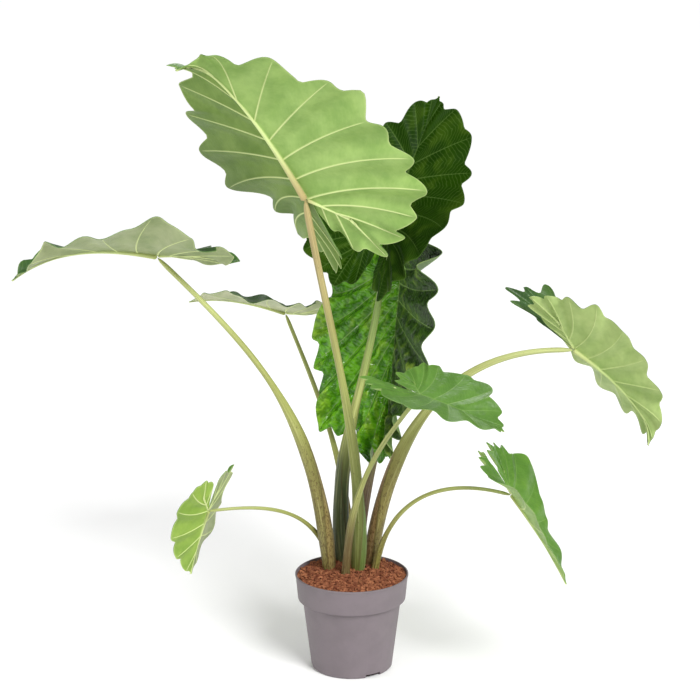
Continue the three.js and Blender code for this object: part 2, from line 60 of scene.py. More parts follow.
# ---------------------------------------------------------------- the plant's measures
POT_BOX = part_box("pot")

# Half of a flat blade's outline, as shares of its length: x runs along the midrib from the junction
# (0) to the tip (1), y is the distance from the midrib. The last points go round the back lobe.
OUTLINE = np.array([
    (1, 0), (0.95, 0.035), (0.87, 0.13), (0.70, 0.29), (0.50, 0.42), (0.28, 0.52), (0.05, 0.565),
    (-0.16, 0.555), (-0.32, 0.47), (-0.42, 0.34), (-0.47, 0.21), (-0.44, 0.11), (-0.33, 0.05),
    (-0.17, 0.022), (0, 0),
])
FRONT_SPANS = 7          # outline spans from the tip to the vein that leaves the junction
OUTER_SPANS = 3          # from there to the end of the basal rib
INNER_SPANS = 4          # from there into the cleft
BASAL_RIB_LENGTH = 0.27
BASAL_RIB_ANGLE = radians(145)
EVEN_VEINS = 0.8         # share of the midrib that the veins divide evenly
BARE_TIP = 0.2           # the rest, most of which lies before the first vein
BARE_TIP_POWER = 6
AXIS_STEPS = 48
AXIS_BACK = -0.75        # ends of the bent axis, in lengths from the junction
AXIS_FRONT = 1.05
EVEN_BEND = 0.35         # share of the bend that is the same all along, and the share that grows
GROWING_BEND = 0.65
HOOK_START = 0.7
LOBE_BEND_END = 0.4

# Teeth and waves of the margin. Vein numbers count from the tip (0) past the junction to the cleft.
TIP_FADE = (0.3, 2.2)    # vein numbers over which teeth and waves grow in at the tip
CLEFT_FADE = (1.3, 1.8)  # where the teeth end in the cleft, in basal ribs past the junction
WAVE_FADE = (2.2, 0.6)   # where the waves end, in veins before the cleft
NOTCHES = (0.36, 0.64)   # places of the notch between two veins
TOOTH_LEAST = 0.7        # size of the smallest tooth, and how much a draw can add
TOOTH_EXTRA = 0.7
TOOTH_INSIDE = 0.45      # share of a tooth that lies inside the smooth outline
DIP_CHANCE = 0.25        # share of the waves that go down, and their size
DIP = -0.5
WAVE_LEAST = 0.6
WAVE_EXTRA = 0.8
WAVE_POWER = 2.2         # how steeply a wave grows towards the margin
ARCH_ALL = 0.012         # how far every vein arches towards the tip, in lengths
ARCH_JUNCTION = 0.04     # and how much more near the junction
ARCH_REACH = 1.6
ARCH_FADE = (0.2, 1.5)
CREASE = 0.8             # how closely the grid's columns crowd at the veins
FINE_FADE = (0.5, 2)     # where the ruffles and blisters start and end, in veins
RUFFLES = (2.2, 2)       # ruffles along the margin and across it, per vein and per half width
RUFFLE_POWER = 2.5
BLISTER_SHARE = 0.4      # of a blister's size that counts, and that shows at a vein
SEEDS_A_LEAF = 10        # steps between the seeds of the leaves, the waves and the blisters
WAVE_SEED = 5
BLISTER_SEED = 500

# Grids and veins of a blade
COLUMNS = 20             # grid columns from one vein to the next
ROWS_SMALL = 36          # grid rows from the rib to the margin
ROWS_LARGE = 46
LARGE_LEAF = 0.25        # length of the leaves that have more rows
LONGEST = 0.4            # leaf length at which veins have their full size
VEIN_LEAST = 0.45        # size of the veins on the smallest leaf, and what length adds
VEIN_EXTRA = 0.55
VEIN_TAPER = 0.6
VEIN_SLOPE = 0.75
VEIN_SINK = 0.0005       # how far the upper side sinks along a vein
RIB_SPREAD = 1.6
RIM_WIDTH = 0.0016       # width of a blade's pale edge
MIDRIB_RINGS = 60
BASAL_RINGS = 24
RIB_SIDES = 16
RIB_END = 0.12           # vein number at which the midrib ends
RIB_GAP = 0.0002         # between a rib and the blade's middle
RIB_THIN = 0.13          # radius of the midrib at its tip, in stalk radii, and what it adds at the stalk
RIB_THICK = 0.75
RIB_FALL = 1.3
BASAL_RIB_SIZE = 0.8     # size of a basal rib, and the share of the midrib that it starts like
BASAL_RIB_START = 0.3
STEM_TINT = 0.45         # share of the midrib that has the stalk's colour
BASAL_STEM_TINT = 0.3    # and of the basal ribs, with the strength there
BASAL_STEM_STRENGTH = 0.6
VEIN_END = 0.9           # share of the half width from which the veins fade

STALK_BOTTOM = 0.143     # height at which the stalks start, inside the soil
STALK_DEPTH = 0.86       # size across the arch as a share of the width
STALK_STATIONS = (0, 0.12, 0.3, 0.6, 1)
STALK_RINGS = 150
STALK_SIDES = 64
STALK_TIP = 6            # rings of its round upper end
STALK_LUMPS = 0.02       # unevenness of its radius, and lumps along it
LUMPS_ALONG = 9
SHEATH_START = (0.01, 0.05)   # shares of the stalk over which its sheath starts and, below, ends
SHEATH_END = 0.36        # share of the stalk that has a sheath
SHEATH_FADE = (0.04, 0.02)
LIP_LOW = radians(105)   # how far the sheath's lips are from the arch's outer line, at the foot
LIP_HIGH = radians(40)   # and at the sheath's end
LIP_WIDTH = radians(8)
LIP_TINT_WIDTH = radians(6)
LIP_HEIGHT = 0.5         # lips, channel between them and knob at their end, in sheath heights
CHANNEL_DEPTH = 0.2
CHANNEL_EDGE = (-0.25, 0.05)
KNOB_HEIGHT = 0.4
KNOB_LENGTH = 0.012
KNOB_WIDTH = radians(30)
SPECKLED = {"olive": 0.7, "umber": 0.5, "tan": 1.0, "rust": 0.9, "ochre": 0.25, "green": 0.35, "purple": 0.5}

DRAIN_TURNS = [radians(-58 + 120 * i) for i in range(3)]
DRAIN_DEPTH = 0.009
POT_STEPS = 128
CHAMFER = 0.0025         # at the pot's foot
BEVEL = 0.0006           # of every sharp edge of the pot
LIP_STEP = 0.001         # bevels of the rim's lip and of the band's lower edge
BAND_STEP = 0.003
RIM_INSET = 0.0005       # between the lip and the inside of the rim
CLEARANCE = 0.0003       # between soil and pot
BODY_GAP = (0.0008, 0.002)    # inwards and downwards, where the soil passes the body's upper edge
SOIL_RINGS = 70
SOIL_SIDES = 220
SOIL_LUMPS = ((3, 0.0016, 0.012), (4, 0.0012, 0.005))    # seed, height and length
LUMPS_FADE = 0.93
MOUND = 0.003            # height of the soil heaped round each stalk, and its reach in stalk radii
MOUND_REACH = 1.7
CHIP_SEED = 11
CHIP_REACH = 0.965       # share of the soil's radius that has chips
CHIP_KEEP_OFF = 0.8      # no chips this near to a stalk's middle, in its radii
CHIP_SIZES = (0.5, 1.7)  # least and greatest length, width and thickness, in shares
CHIP_WIDTHS = (0.5, 1.1)
CHIP_THICKNESSES = (0.18, 0.35)
CHIP_CORNER_DRIFT = 0.05
CHIP_UNDERSIDE = 0.86
CHIP_TILT = 0.45         # radians, as the spread of the draws
CHIP_LIFT = 0.1          # how far a chip lies above the soil, in chip sizes
SLIVER = np.array([(-0.5, -0.22, 0), (0.1, -0.32, 0.05), (0.5, -0.05, 0), (0.35, 0.25, 0.04),
                   (-0.2, 0.3, 0), (-0.55, 0.1, 0.06)])    # corners of a chip
HALF_MARK = 30           # added to the vein numbers of the right half in a blade's map

FLOOR_DROP = 0.0003      # floor below the pot's base, so that the two faces don't meet
SUN_PLACE = (2, -3, 3)
LIGHT_AIM = Vector((0, 0, 0.55))
LIGHTS = (               # name, place, size and power
    ("fill", (-1.9, -2.6, 2.1), 1.2, 9), ("back", (0.4, 2.4, 2.4), 1.2, 14),
    ("glint", (-2.5, -0.7, 1.6), 0.7, 15))
SKY_DIMMED = 0.8         # share of the sky that reflections don't show
WHITE_ROOM = 1.1         # what the camera sees behind the plant
SENSOR = 36
CLIP_END = 200

# Looks. Scales are noise cells in a metre, and spans are the values that a mix starts and ends at.
NOISE_MIDDLE = (0.3, 0.7)
LEAF_PATCHES = 16.0
LEAF_SHADE = (0.66, 0.74, 0.6)
BLISTER_SCALE = 75.0
BLISTER_SPAN = (0.35, 0.65)
BLISTER_HIGHLIGHT = "9fc83e"  # painted highlight on the raised parts of a blistered leaf
BLISTER_STRENGTH = 0.7
# painted shade in the relief's hollows and between the blisters, and painted highlight on the blisters'
# domes
HOLLOW_SHADE = (0.3, 0.36, 0.25)
PIT_SHADE = (0.25, 0.36, 0.2)
DOME_HIGHLIGHT = (1.7, 1.4, 1.6)
VEINLET_SPACING = 0.0075
VEINLET_WIDTH = 0.16
VEINLET_SLANT = 5.0      # how far the chevrons point to the margin, and how they wander, in spacings
VEINLET_WANDER = 1.6
WANDER_SCALE = 60.0
CHEVRON_SPAN = (0.02, 0.3)
PLEAT_SHARE = 0.35       # of the veinlets' pleats in the relief, and of the fine grain
GRAIN_SHARE = 0.15
DULL = 0.62              # roughness of a blade without gloss, and how much gloss takes away
GLOSS_EFFECT = 0.42
UNDERSIDE = SimpleNamespace(pleats=0.12, mottle=0.05, gloss=(0.25, 0.25), sheen=0.3)
VEIN_STRENGTHS = (0.6, 0.95)       # above and below
VEINLET_STRENGTHS = (0.12, 0.03)
FOOT_SPAN = (0.2, 0.5)   # shares of the stalk over which its colours change, and where specks end
TOP_SPAN = (0.5, 0.92)
SPECKLE_SPAN = (0.1, 0.6)
SPECKLE_STRETCH = 0.45
SPECKLE_STRENGTH = 0.62
INNER_STRENGTH = 0.85
LIP_STRENGTH = 0.55
STREAKS = (34.0, 7.0)    # round the stalk, and in a metre along it
DARK_STREAKS = dict(low=0.35, high=0.7, to_high=0.45)
DARK_STREAK_SHADE = 0.55
PALE_STREAKS = dict(low=0.3, high=0.5, to_low=0.22, to_high=0.0)
STREAK_TINT = "e6e2a8"   # of the pale streaks along a stalk
CHIP_PATCHES = 220.0
CHIP_PATCH_SHARE = 0.4
NOTCH_SHADOW_SPAN = (0.02, 0.1)  # heights between which the soil goes from a painted, nearly black shadow to its own colour
NOTCH_SHADOW_SHADE = 0.08
POT_PATCHES = 25.0
POT_SHADES = (0.94, 1.05)

DRAW_START = (7919, 12345)    # generator of the seeded draws
DRAW_STEP = (1664525, 1013904223, 2 ** 32)
DRAWS_SKIPPED = 3
NOISE_CELLS = 4096
NOISE_STRIDES = (1, 57, 1013)
MERGE_DISTANCE = 2e-5    # points nearer than this become one
CLOSED = 1e-4            # radius share that closes the end of a tube
TINY = 1e-6              # keeps a divisor from being 0
HAIR = 1e-9              # keeps a table's last place inside the table
SMOOTH_BLADE = radians(55)    # edges flatter than this are shaded smooth
SMOOTH_POT = radians(30)
SMOOTH_SOIL = radians(35)
BEVEL_FROM = radians(25)      # and sharper than this are bevelled

# Each leaf: where the stalk meets the blade, the blade's length, the heading of its midrib (degrees
# in plan from +X), its pitch above the horizon and its roll (positive tips the right side down).
# Pairs give the right and the left half. bend droops the tip and hook turns its last quarter.
# bays and crests are single teeth, notches and lifted places of the margin: half (0 is the right
# one), vein number, size in lengths and width in veins. The looks are the tones of the upper side
# and underside, some with painted light or shade in them, gloss, strength of pleats, sheen, veins,
# strength of the painted highlights and shade on the relief, and blisters per vein and row.
# The stalk goes from its foot in the soil along rise, for the reach lower, and comes to the blade
# along arrive, with the reach upper; radii are those at STALK_STATIONS, and stem is its colouring.
DEFAULTS = dict(
    width=(1, 1), lobe=(1, 1), bend=10, hook=0, fold=(10, 10), lobe_fold=None, lobe_from=0.15,
    lobe_bend=(0, 0), shear=(0, 0), veins=6, basal=3, tooth=0.05, wave=0.035, pucker=0.012, crests=(),
    bays=(), ruffle=0.006, blister=0.0012, top=("fresh", "fresh"), under=("bright", "bright"),
    gloss=(0.5, 0.5), pleats=0.5, sheen=0.4, veining=1, mottle=0.08, grain=(2, 8), stem="olive",
)
LEAVES = [SimpleNamespace(**{**DEFAULTS, **leaf}) for leaf in (
    dict(name="tall_left", seed=1, at=(-0.078, -0.07, 0.899), length=0.38, heading=-152, pitch=58,
         roll=25, bend=30, hook=45, fold=(11, 12), lobe_fold=(26, 12), width=(1.07, 0.95),
         lobe=(1.1, 0.74), veins=7, tooth=0.085, under=("painted_shading", "bright"), stem="ochre",
         bays=((1, 3.3, -0.05, 0.35), (1, 4.5, 0.11, 0.25), (1, 5, -0.04, 0.15), (1, 5.4, 0.03, 0.3),
               (1, 6, 0.045, 0.3), (0, 3, -0.03, 0.5), (0, 4, -0.035, 0.4), (0, 5, -0.03, 0.3),
               (0, 7, -0.26, 0.8), (0, 8.7, -0.2, 0.7), (0, 10.6, -0.12, 0.8), (0, 12.3, 0.12, 0.6)),
         foot=(0.008, 0.012), rise=(0.11, -0.05, 1), lower=0.25, arrive=(-0.17, -0.1, 1), upper=0.25,
         radii=(0.013, 0.017, 0.0117, 0.0078, 0.007)),
    dict(name="tall_back", seed=2, at=(0.067, 0.165, 0.803), length=0.275, heading=42, pitch=63,
         roll=30, bend=14, fold=(8, 14), lobe_fold=(45, 14), lobe_from=0.45, width=(0.95, 1), veins=7,
         bays=((0, 2.7, 0.09, 0.8), (0, 5, -0.03, 0.4), (0, 6, 0.1, 0.6), (1, 2.6, -0.06, 0.5),
               (1, 3.3, -0.05, 0.4)),
         top=("darkest_and_shaded", "darkest_and_shaded"), under=("moss", "moss"), gloss=(0.4, 0.4), pleats=0.2, sheen=0.06,
         veining=0.4, stem="green",
         foot=(-0.012, 0.045), rise=(-0.12, 0.05, 1), lower=0.3, arrive=(0.1, 0.1, 1), upper=0.35,
         radii=(0.012, 0.0175, 0.015, 0.0085, 0.006)),
    dict(name="hanging", seed=3, at=(0.099, 0.265, 0.741), length=0.402, heading=-107.5, pitch=-69,
         roll=36, bend=8, fold=(20, 20), width=(0.76, 0.78), shear=(0.7, 0.15), lobe_bend=(35, 60),
         lobe=(0.8, 0.5), veins=10, tooth=0.06, wave=0.05,
         bays=((0, 5.6, 0.06, 0.6), (0, 10, -0.07, 0.9), (1, 6.6, 0.1, 1.6)), top=("lush_and_lit", "deep_and_shaded"),
         under=("moss", "moss"), stem="purple", ruffle=0.035, blister=0.011, gloss=(1.15, 0.5),
         pleats=2.6, sheen=0.45, veining=1.4, mottle=0.6, grain=(1.7, 14),
         foot=(0.011, 0.062), rise=(0.03, 0.62, 1), lower=0.26, arrive=(-0.15, -0.45, 0.85),
         upper=0.22, radii=(0.01, 0.009, 0.008, 0.007, 0.006)),
    dict(name="front_right", seed=4, at=(0.12, -0.12, 0.559), length=0.165, heading=-22, pitch=-14,
         roll=13, bend=12, fold=(20, 5), width=(1, 0.92), shear=(0, 0.22), lobe=(1.15, 0.75), veins=5,
         tooth=0.1, stem="umber", sheen=0.6,
         bays=((1, 3.4, 0.17, 0.6), (1, 2, 0.03, 0.6), (0, 1.7, 0.08, 0.7), (0, 3.5, 0.16, 1.2),
               (1, 6, 0.1, 0.4)),
         foot=(-0.014, -0.013), rise=(0.05, -0.05, 1), lower=0.18, arrive=(0.6, -0.2, 0.8),
         upper=0.18, radii=(0.0115, 0.0085, 0.0075, 0.0052, 0.0042)),
    dict(name="far_right", seed=5, at=(0.408, 0.04, 0.603), length=0.238, heading=2, pitch=-37,
         roll=-33, bend=36, hook=35, fold=(18, 14), lobe_fold=(18, 70), lobe_bend=(0, 8),
         bays=((0, 6, 0.06, 0.3), (0, 3.4, -0.04, 0.4), (0, 4.5, -0.03, 0.3), (1, 5, -0.2, 0.5)),
         lobe=(1.15, 1.35), width=(0.77, 0.8), shear=(0.08, 0.15), tooth=0.075, top=("dusk", "dusk"),
         under=("sap", "sap"), veining=0.5, stem="rust",
         foot=(0.029, 0.042), rise=(0.1, 0, 1), lower=0.27, arrive=(1, 0, -0.05), upper=0.25,
         radii=(0.0125, 0.016, 0.0155, 0.0085, 0.005)),
    dict(name="low_right", seed=6, at=(0.291, -0.06, 0.355), length=0.19, heading=-31, pitch=-50,
         roll=-12, bend=8, fold=(25, 5), lobe_fold=(8, 5), width=(1, 0.85), shear=(0, -0.2), veins=5,
         tooth=0.08, bays=((1, 4.4, 0.32, 0.6), (1, 3, -0.08, 0.5)),
         foot=(0.038, 0.014), rise=(0.08, 0, 1), lower=0.17, arrive=(1, 0, -0.3), upper=0.15,
         radii=(0.009, 0.0075, 0.005, 0.0042, 0.0035)),
    dict(name="low_left", seed=7, at=(-0.262, -0.06, 0.324), length=0.168, heading=121, pitch=-60,
         roll=-18, bend=5, fold=(20, 5), width=(1, 0.76), lobe=(0.85, 1.05), veins=4, basal=2,
         tooth=0.085, bays=((0, 3.4, -0.22, 0.6), (1, 2, -0.04, 0.3)), under=("sage", "lime"),
         foot=(-0.03, 0.06), rise=(-0.2, 0, 1), lower=0.13, arrive=(-1, 0, -0.15), upper=0.15,
         radii=(0.008, 0.007, 0.005, 0.004, 0.003)),
    dict(name="far_left", seed=8, at=(-0.346, -0.02, 0.789), length=0.27, heading=-174, pitch=10,
         roll=7, bend=48, fold=(4, 15), width=(1, 0.9), wave=0.06, tooth=0.07,
         crests=((1, 5.07, 0.14, 0.35), (1, 3.5, -0.04, 0.4), (1, 5.9, 0.04, 0.4)),
         top=("dusk", "dusk"), under=("sage", "sage"), stem="tan", ruffle=0.012,
         foot=(-0.039, 0.018), rise=(-0.055, 0, 1), lower=0.33, arrive=(-0.8, 0, 0.8), upper=0.27,
         radii=(0.0125, 0.017, 0.0145, 0.0065, 0.005)),
    dict(name="back_left", seed=9, at=(-0.132, 0.42, 0.583), length=0.2, heading=174, pitch=15,
         roll=12, bend=25, lobe_bend=(-32, -32), fold=(5, 12), wave=0.05, tooth=0.06, veins=5,
         crests=((1, 3.5, -0.05, 0.5),), top=("dusk", "dusk"), under=("fog", "fog"), ruffle=0.012,
         foot=(-0.006, 0.079), rise=(0.05, 0.12, 1), lower=0.2, arrive=(-0.42, 0.25, 1), upper=0.2,
         radii=(0.009, 0.009, 0.007, 0.005, 0.004)),
)]


# ---------------------------------------------------------------- settings
def tint(code):
    """A linear colour from the usual six hexadecimal digits."""
    parts = [int(code[i:i + 2], 16) / 255 for i in (0, 2, 4)]
    return tuple(c / 12.92 if c <= 0.04045 else ((c + 0.055) / 1.055) ** 2.4 for c in parts)


def size_of(name, description, default):
    return bpy.props.FloatProperty(name=name, description=description, default=default, unit="LENGTH",
                                   precision=4)


def colour_of(name, description, code):
    return bpy.props.FloatVectorProperty(name=name, description=description, default=tint(code),
                                         subtype="COLOR", min=0, max=1)


class AlocasiaPotSettings(bpy.types.PropertyGroup):
    """Sizes and colour of the nursery pot."""
    height: size_of("Height", "Height of the pot", POT_BOX[1].z)
    rim_radius: size_of("Rim radius", "Outer radius of the rim's lip", POT_BOX[1].x)
    base_radius: size_of("Base radius", "Outer radius of the base", 0.0758)
    band_height: size_of("Band height", "Height of the lower edge of the rim band", 0.138)
    band_radius: size_of("Band radius", "Outer radius at the band's lower edge", 0.1005)
    body_height: size_of("Body height", "Height at which the tapered body meets the band", 0.13)
    body_radius: size_of("Body radius", "Outer radius at the top of the body", 0.0915)
    wall: size_of("Wall", "Thickness of the wall", 0.002)
    floor: size_of("Floor", "Thickness of the floor", 0.003)
    notch_width: size_of("Notch width", "Width of a drain notch", 0.031)
    notch_height: size_of("Notch height", "Height of a drain notch", 0.0065)
    colour: colour_of("Plastic", "Colour of the pot", "766c71")


class AlocasiaSoilSettings(bpy.types.PropertyGroup):
    """Sizes and colours of the coir that fills the pot."""
    edge: size_of("Edge height", "Height of the soil at the pot's wall", 0.176)
    dome: size_of("Dome", "Extra height at the middle", 0.007)
    chips: bpy.props.IntProperty(name="Chips", description="Number of loose coir chips", default=1700)
    chip_size: size_of("Chip size", "Mean length of a chip", 0.0066)
    light: colour_of("Light chips", "Colour of the palest chips", "b27452")
    dark: colour_of("Dark chips", "Colour of the darkest chips", "5d2a1c")


class AlocasiaStalkSettings(bpy.types.PropertyGroup):
    """Colours of the stalks."""
    olive: colour_of("Olive", "Foot of most stalks", "85803f")
    olive_top: colour_of("Olive top", "Upper part of most stalks", "aab36c")
    olive_inner: colour_of("Olive sheath", "Inside of most sheaths", "9a8a52")
    tan: colour_of("Tan", "Foot of the stalk at the far left", "8a8246")
    tan_top: colour_of("Tan top", "Upper part of the stalk at the far left", "bcc67c")
    tan_inner: colour_of("Tan sheath", "Inside of the sheath at the far left", "a8935c")
    rust: colour_of("Rust", "Foot of the stalk at the far right", "94884a")
    rust_top: colour_of("Rust top", "Upper part of the stalk at the far right", "c2cb86")
    rust_inner: colour_of("Rust sheath", "Inside of the sheath at the far right", "9a7550")
    ochre: colour_of("Ochre", "Foot of the tallest stalk", "6f7838")
    ochre_top: colour_of("Ochre top", "Upper part of the tallest stalk", "baa673")
    ochre_inner: colour_of("Ochre sheath", "Inside of the tallest stalk's sheath", "5f7a3a")
    green: colour_of("Green", "Foot of the stalk in the middle", "3c4a26")
    green_top: colour_of("Green top", "Upper part of the stalk in the middle", "8aa85a")
    green_inner: colour_of("Green sheath", "Inside of the sheath in the middle", "55603a")
    purple: colour_of("Purple", "Foot of the darkest stalk", "66503f")
    purple_top: colour_of("Purple top", "Upper part of the darkest stalk", "7b8a4a")
    purple_inner: colour_of("Purple sheath", "Inside of the darkest sheath", "7c6048")
    umber: colour_of("Umber", "Foot of the stalk in front", "6a5b36")
    umber_top: colour_of("Umber top", "Upper part of the stalk in front", "aab36c")
    umber_inner: colour_of("Umber sheath", "Inside of the sheath in front", "7d6c44")
    middle: colour_of("Middle", "Middle of all the stalks", "a3a95e")
    speckle: colour_of("Speckles", "Colour of the brown speckles", "50351a")
    edge: colour_of("Sheath edge", "Colour of a sheath's thin edges", "4c4020")
    sheath: size_of("Sheath", "Height of the sheath's lips at the foot", 0.0028)


class AlocasiaBladeSettings(bpy.types.PropertyGroup):
    """Sizes and colours of the leaf blades."""
    thickness: size_of("Thickness", "Thickness of a blade between its veins", 0.0012)
    vein_height: size_of("Vein height", "How far a vein stands out below a blade", 0.0016)
    vein_width: size_of("Vein width", "Half width of a vein where it leaves the rib", 0.0014)
    fresh: colour_of("Fresh", "Upper side of the younger leaves", "5e8a34")
    # the hanging leaf's own dark green with painted shade, for its half that faces away from the light
    deep_and_shaded: colour_of("Deep", "Darker half of the leaf that hangs", "2c5200")
    # the tall back leaf's own dark green, partly painted shade
    darkest_and_shaded: colour_of("Darkest", "Upper side of the tall leaf at the back", "1f3e00")
    # the hanging leaf's own green with painted light, for its lit half
    lush_and_lit: colour_of("Lush", "Brighter half of the leaf that hangs", "5aa016")
    dusk: colour_of("Dusk", "Upper side of the leaves at the far ends", "3f6230")
    bright: colour_of("Bright below", "Underside of the tallest leaf", "9cbb68")
    # painted shade: the underside's tone on the tallest leaf's shaded half
    painted_shading: colour_of("Shade below", "Darker half of the tallest leaf's underside", "7b964a")
    sage: colour_of("Sage below", "Underside of the leaves at the left", "a3ad80")
    fog: colour_of("Fog below", "Underside of the leaf at the back", "c6caa6")
    sap: colour_of("Sap below", "Underside of the leaf at the far right", "b2c67e")
    lime: colour_of("Lime below", "Brighter half of the leaf low at the left", "93b24c")
    moss: colour_of("Moss below", "Underside of the oldest leaves", "6f8f48")
    vein: colour_of("Veins", "Veins seen from below", "d3e09a")
    vein_top: colour_of("Veins above", "Veins seen from above", "86a858")


class AlocasiaStageSettings(bpy.types.PropertyGroup):
    """The floor, the lights and the camera."""
    floor_size: size_of("Floor size", "Length of the floor's side", 80.0)
    floor_colour: colour_of("Floor", "Colour of the floor", "fafafa")
    key_power: bpy.props.FloatProperty(name="Key", description="Strength of the soft sun", default=2.9)
    key_angle: bpy.props.FloatProperty(name="Key size", description="Angle that the soft sun fills",
                                       default=radians(28), subtype="ANGLE")
    sky: bpy.props.FloatProperty(name="Sky", description="Light from all round", default=0.47)
    lens: bpy.props.FloatProperty(name="Lens", description="Focal length of the camera",
                                  default=105.17, unit="CAMERA")
    camera_place: bpy.props.FloatVectorProperty(name="Camera", description="Place of the camera",
                                                default=(-0.0033, -3.6, 1.507), subtype="TRANSLATION")
    camera_pitch: bpy.props.FloatProperty(name="Pitch", description="How far the camera looks down",
                                          default=radians(14), subtype="ANGLE")


# ---------------------------------------------------------------- mesh helpers
def ease(low, high, x):
    u = np.clip((x - low) / (high - low), 0, 1)
    return u * u * (3 - 2 * u)


def draws(seed, count):
    """Seeded draws from 0 to 1."""
    factor, addend, modulus = DRAW_STEP
    state = seed * DRAW_START[0] + DRAW_START[1]
    values = []
    for _ in range(count + DRAWS_SKIPPED):
        state = (state * factor + addend) % modulus
        values.append(state / modulus)
    return np.array(values[DRAWS_SKIPPED:])


def soft_noise(seed, *places):
    """Smooth seeded noise from -1 to 1, one unit a cell, over two or three arrays of places."""
    table = np.random.RandomState(seed).uniform(-1, 1, NOISE_CELLS)
    cells = [np.floor(p).astype(int) for p in places]
    shares = [p - c for p, c in zip(places, cells)]
    total = 0
    for corner in range(2 ** len(places)):
        weight, key = 1, 0
        for k, (cell, share) in enumerate(zip(cells, shares)):
            high = corner >> k & 1
            smooth = ease(0, 1, share)
            weight = weight * (smooth if high else 1 - smooth)
            key = key + (cell + high) * NOISE_STRIDES[k]
        total = total + weight * table[key % NOISE_CELLS]
    return total


def select_only(piece):
    bpy.ops.object.select_all(action="DESELECT")
    piece.select_set(True)
    bpy.context.view_layer.objects.active = piece


def edit(piece, *steps):
    """Runs edit mode operators, each a function without arguments, on the whole of a piece."""
    select_only(piece)
    bpy.ops.object.mode_set(mode="EDIT")
    bpy.ops.mesh.select_all(action="SELECT")
    for step in steps:
        step()
    bpy.ops.object.mode_set(mode="OBJECT")


def merge():
    bpy.ops.mesh.remove_doubles(threshold=MERGE_DISTANCE)


def outward():
    bpy.ops.mesh.normals_make_consistent(inside=False)


def apply_modifier(piece, kind, **values):
    """Adds a modifier, sets it and applies it."""
    select_only(piece)
    modifier = piece.modifiers.new(kind.title(), kind)
    for key, value in values.items():
        setattr(modifier, key, value)
    bpy.ops.object.modifier_apply(modifier=modifier.name)


def sheet(name, points, uv, marks):
    """A grid primitive whose corners go to an array of points (rows, columns, 3)."""
    rows, columns = points.shape[:2]
    bpy.ops.object.select_all(action="DESELECT")
    bpy.ops.mesh.primitive_grid_add(x_subdivisions=columns - 1, y_subdivisions=rows - 1, size=1)
    piece = bpy.context.object
    piece.name = piece.data.name = name
    mesh = piece.data
    mesh.vertices.foreach_set("co", np.ascontiguousarray(points, np.float32).ravel())
    corners = np.zeros(len(mesh.loops), int)
    mesh.loops.foreach_get("vertex_index", corners)
    flat = np.stack([np.broadcast_to(a, (rows, columns)) for a in uv], -1).reshape(-1, 2)
    mesh.uv_layers[0].data.foreach_set("uv", flat[corners].astype(np.float32).ravel())
    for key, values in marks.items():
        mark = mesh.attributes.new(key, "FLOAT", "POINT")
        mark.data.foreach_set("value", np.broadcast_to(values, (rows, columns)).astype(np.float32).ravel())
    mesh.update()
    return piece


def join(name, pieces):
    """Joins pieces into the first one."""
    select_only(pieces[0])
    for piece in pieces:
        piece.select_set(True)
    bpy.ops.object.join()
    pieces[0].name = pieces[0].data.name = name
    return pieces[0]


def finish_piece(piece, node, smooth_angle=None):
    """Shades a piece and puts it in the place of its CAD node."""
    select_only(piece)
    if smooth_angle is None:
        bpy.ops.object.shade_smooth()
    else:
        bpy.ops.object.shade_smooth_by_angle(angle=smooth_angle)
    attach(piece, "root")
    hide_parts(node)
    return piece


# ---------------------------------------------------------------- blades
def vein_count(leaf):
    return leaf.veins + 2 * leaf.basal


def outline_at(u):
    """Points of the half outline, u counting its points."""
    last = len(OUTLINE) - 1
    u = np.clip(u, 0, last - HAIR)
    i = np.floor(u).astype(int)
    f = (u - i)[..., None]
    p0, p1, p2, p3 = (OUTLINE[np.clip(i + k, 0, last)] for k in (-1, 0, 1, 2))
    return 0.5 * (2 * p1 + (p2 - p0) * f + (2 * p0 - 5 * p1 + 4 * p2 - p3) * f ** 2
                  + (3 * p1 - p0 - 3 * p2 + p3) * f ** 3)


def leaf_frame(leaf):
    """The blade's directions at the junction: forward, right and up."""
    heading, pitch = radians(leaf.heading), radians(leaf.pitch)
    forward = Vector((cos(heading) * cos(pitch), sin(heading) * cos(pitch), sin(pitch)))
    right = Vector((sin(heading), -cos(heading), 0))
    up = right.cross(forward)
    roll = Quaternion(forward, radians(leaf.roll))
    return forward, roll @ right, roll @ up


def blade_axis(leaf, half):
    """The bent axis, as a table of its places, points and up directions."""
    forward, right, up = leaf_frame(leaf)

    def walk(reach, turn):
        step = reach / (AXIS_STEPS - 1)
        point = Vector(leaf.at)
        stations = []
        for i in range(AXIS_STEPS):
            bend = Quaternion(right, turn(abs(step * (i - 0.5))) if i else 0)
            if i:
                point = point + (bend @ forward) * step * leaf.length
            stations.append((step * i, *point, *(bend @ up)))
        return stations

    def droop(m):
        hook = radians(leaf.hook) * float(ease(HOOK_START, AXIS_FRONT, m))
        return -radians(leaf.bend) * (EVEN_BEND * m + GROWING_BEND * m * m) - hook

    def lobe_droop(m):
        return radians(leaf.lobe_bend[half]) * min(1, m / LOBE_BEND_END)

    return np.array(walk(AXIS_BACK, lobe_droop)[:0:-1] + walk(AXIS_FRONT, droop))


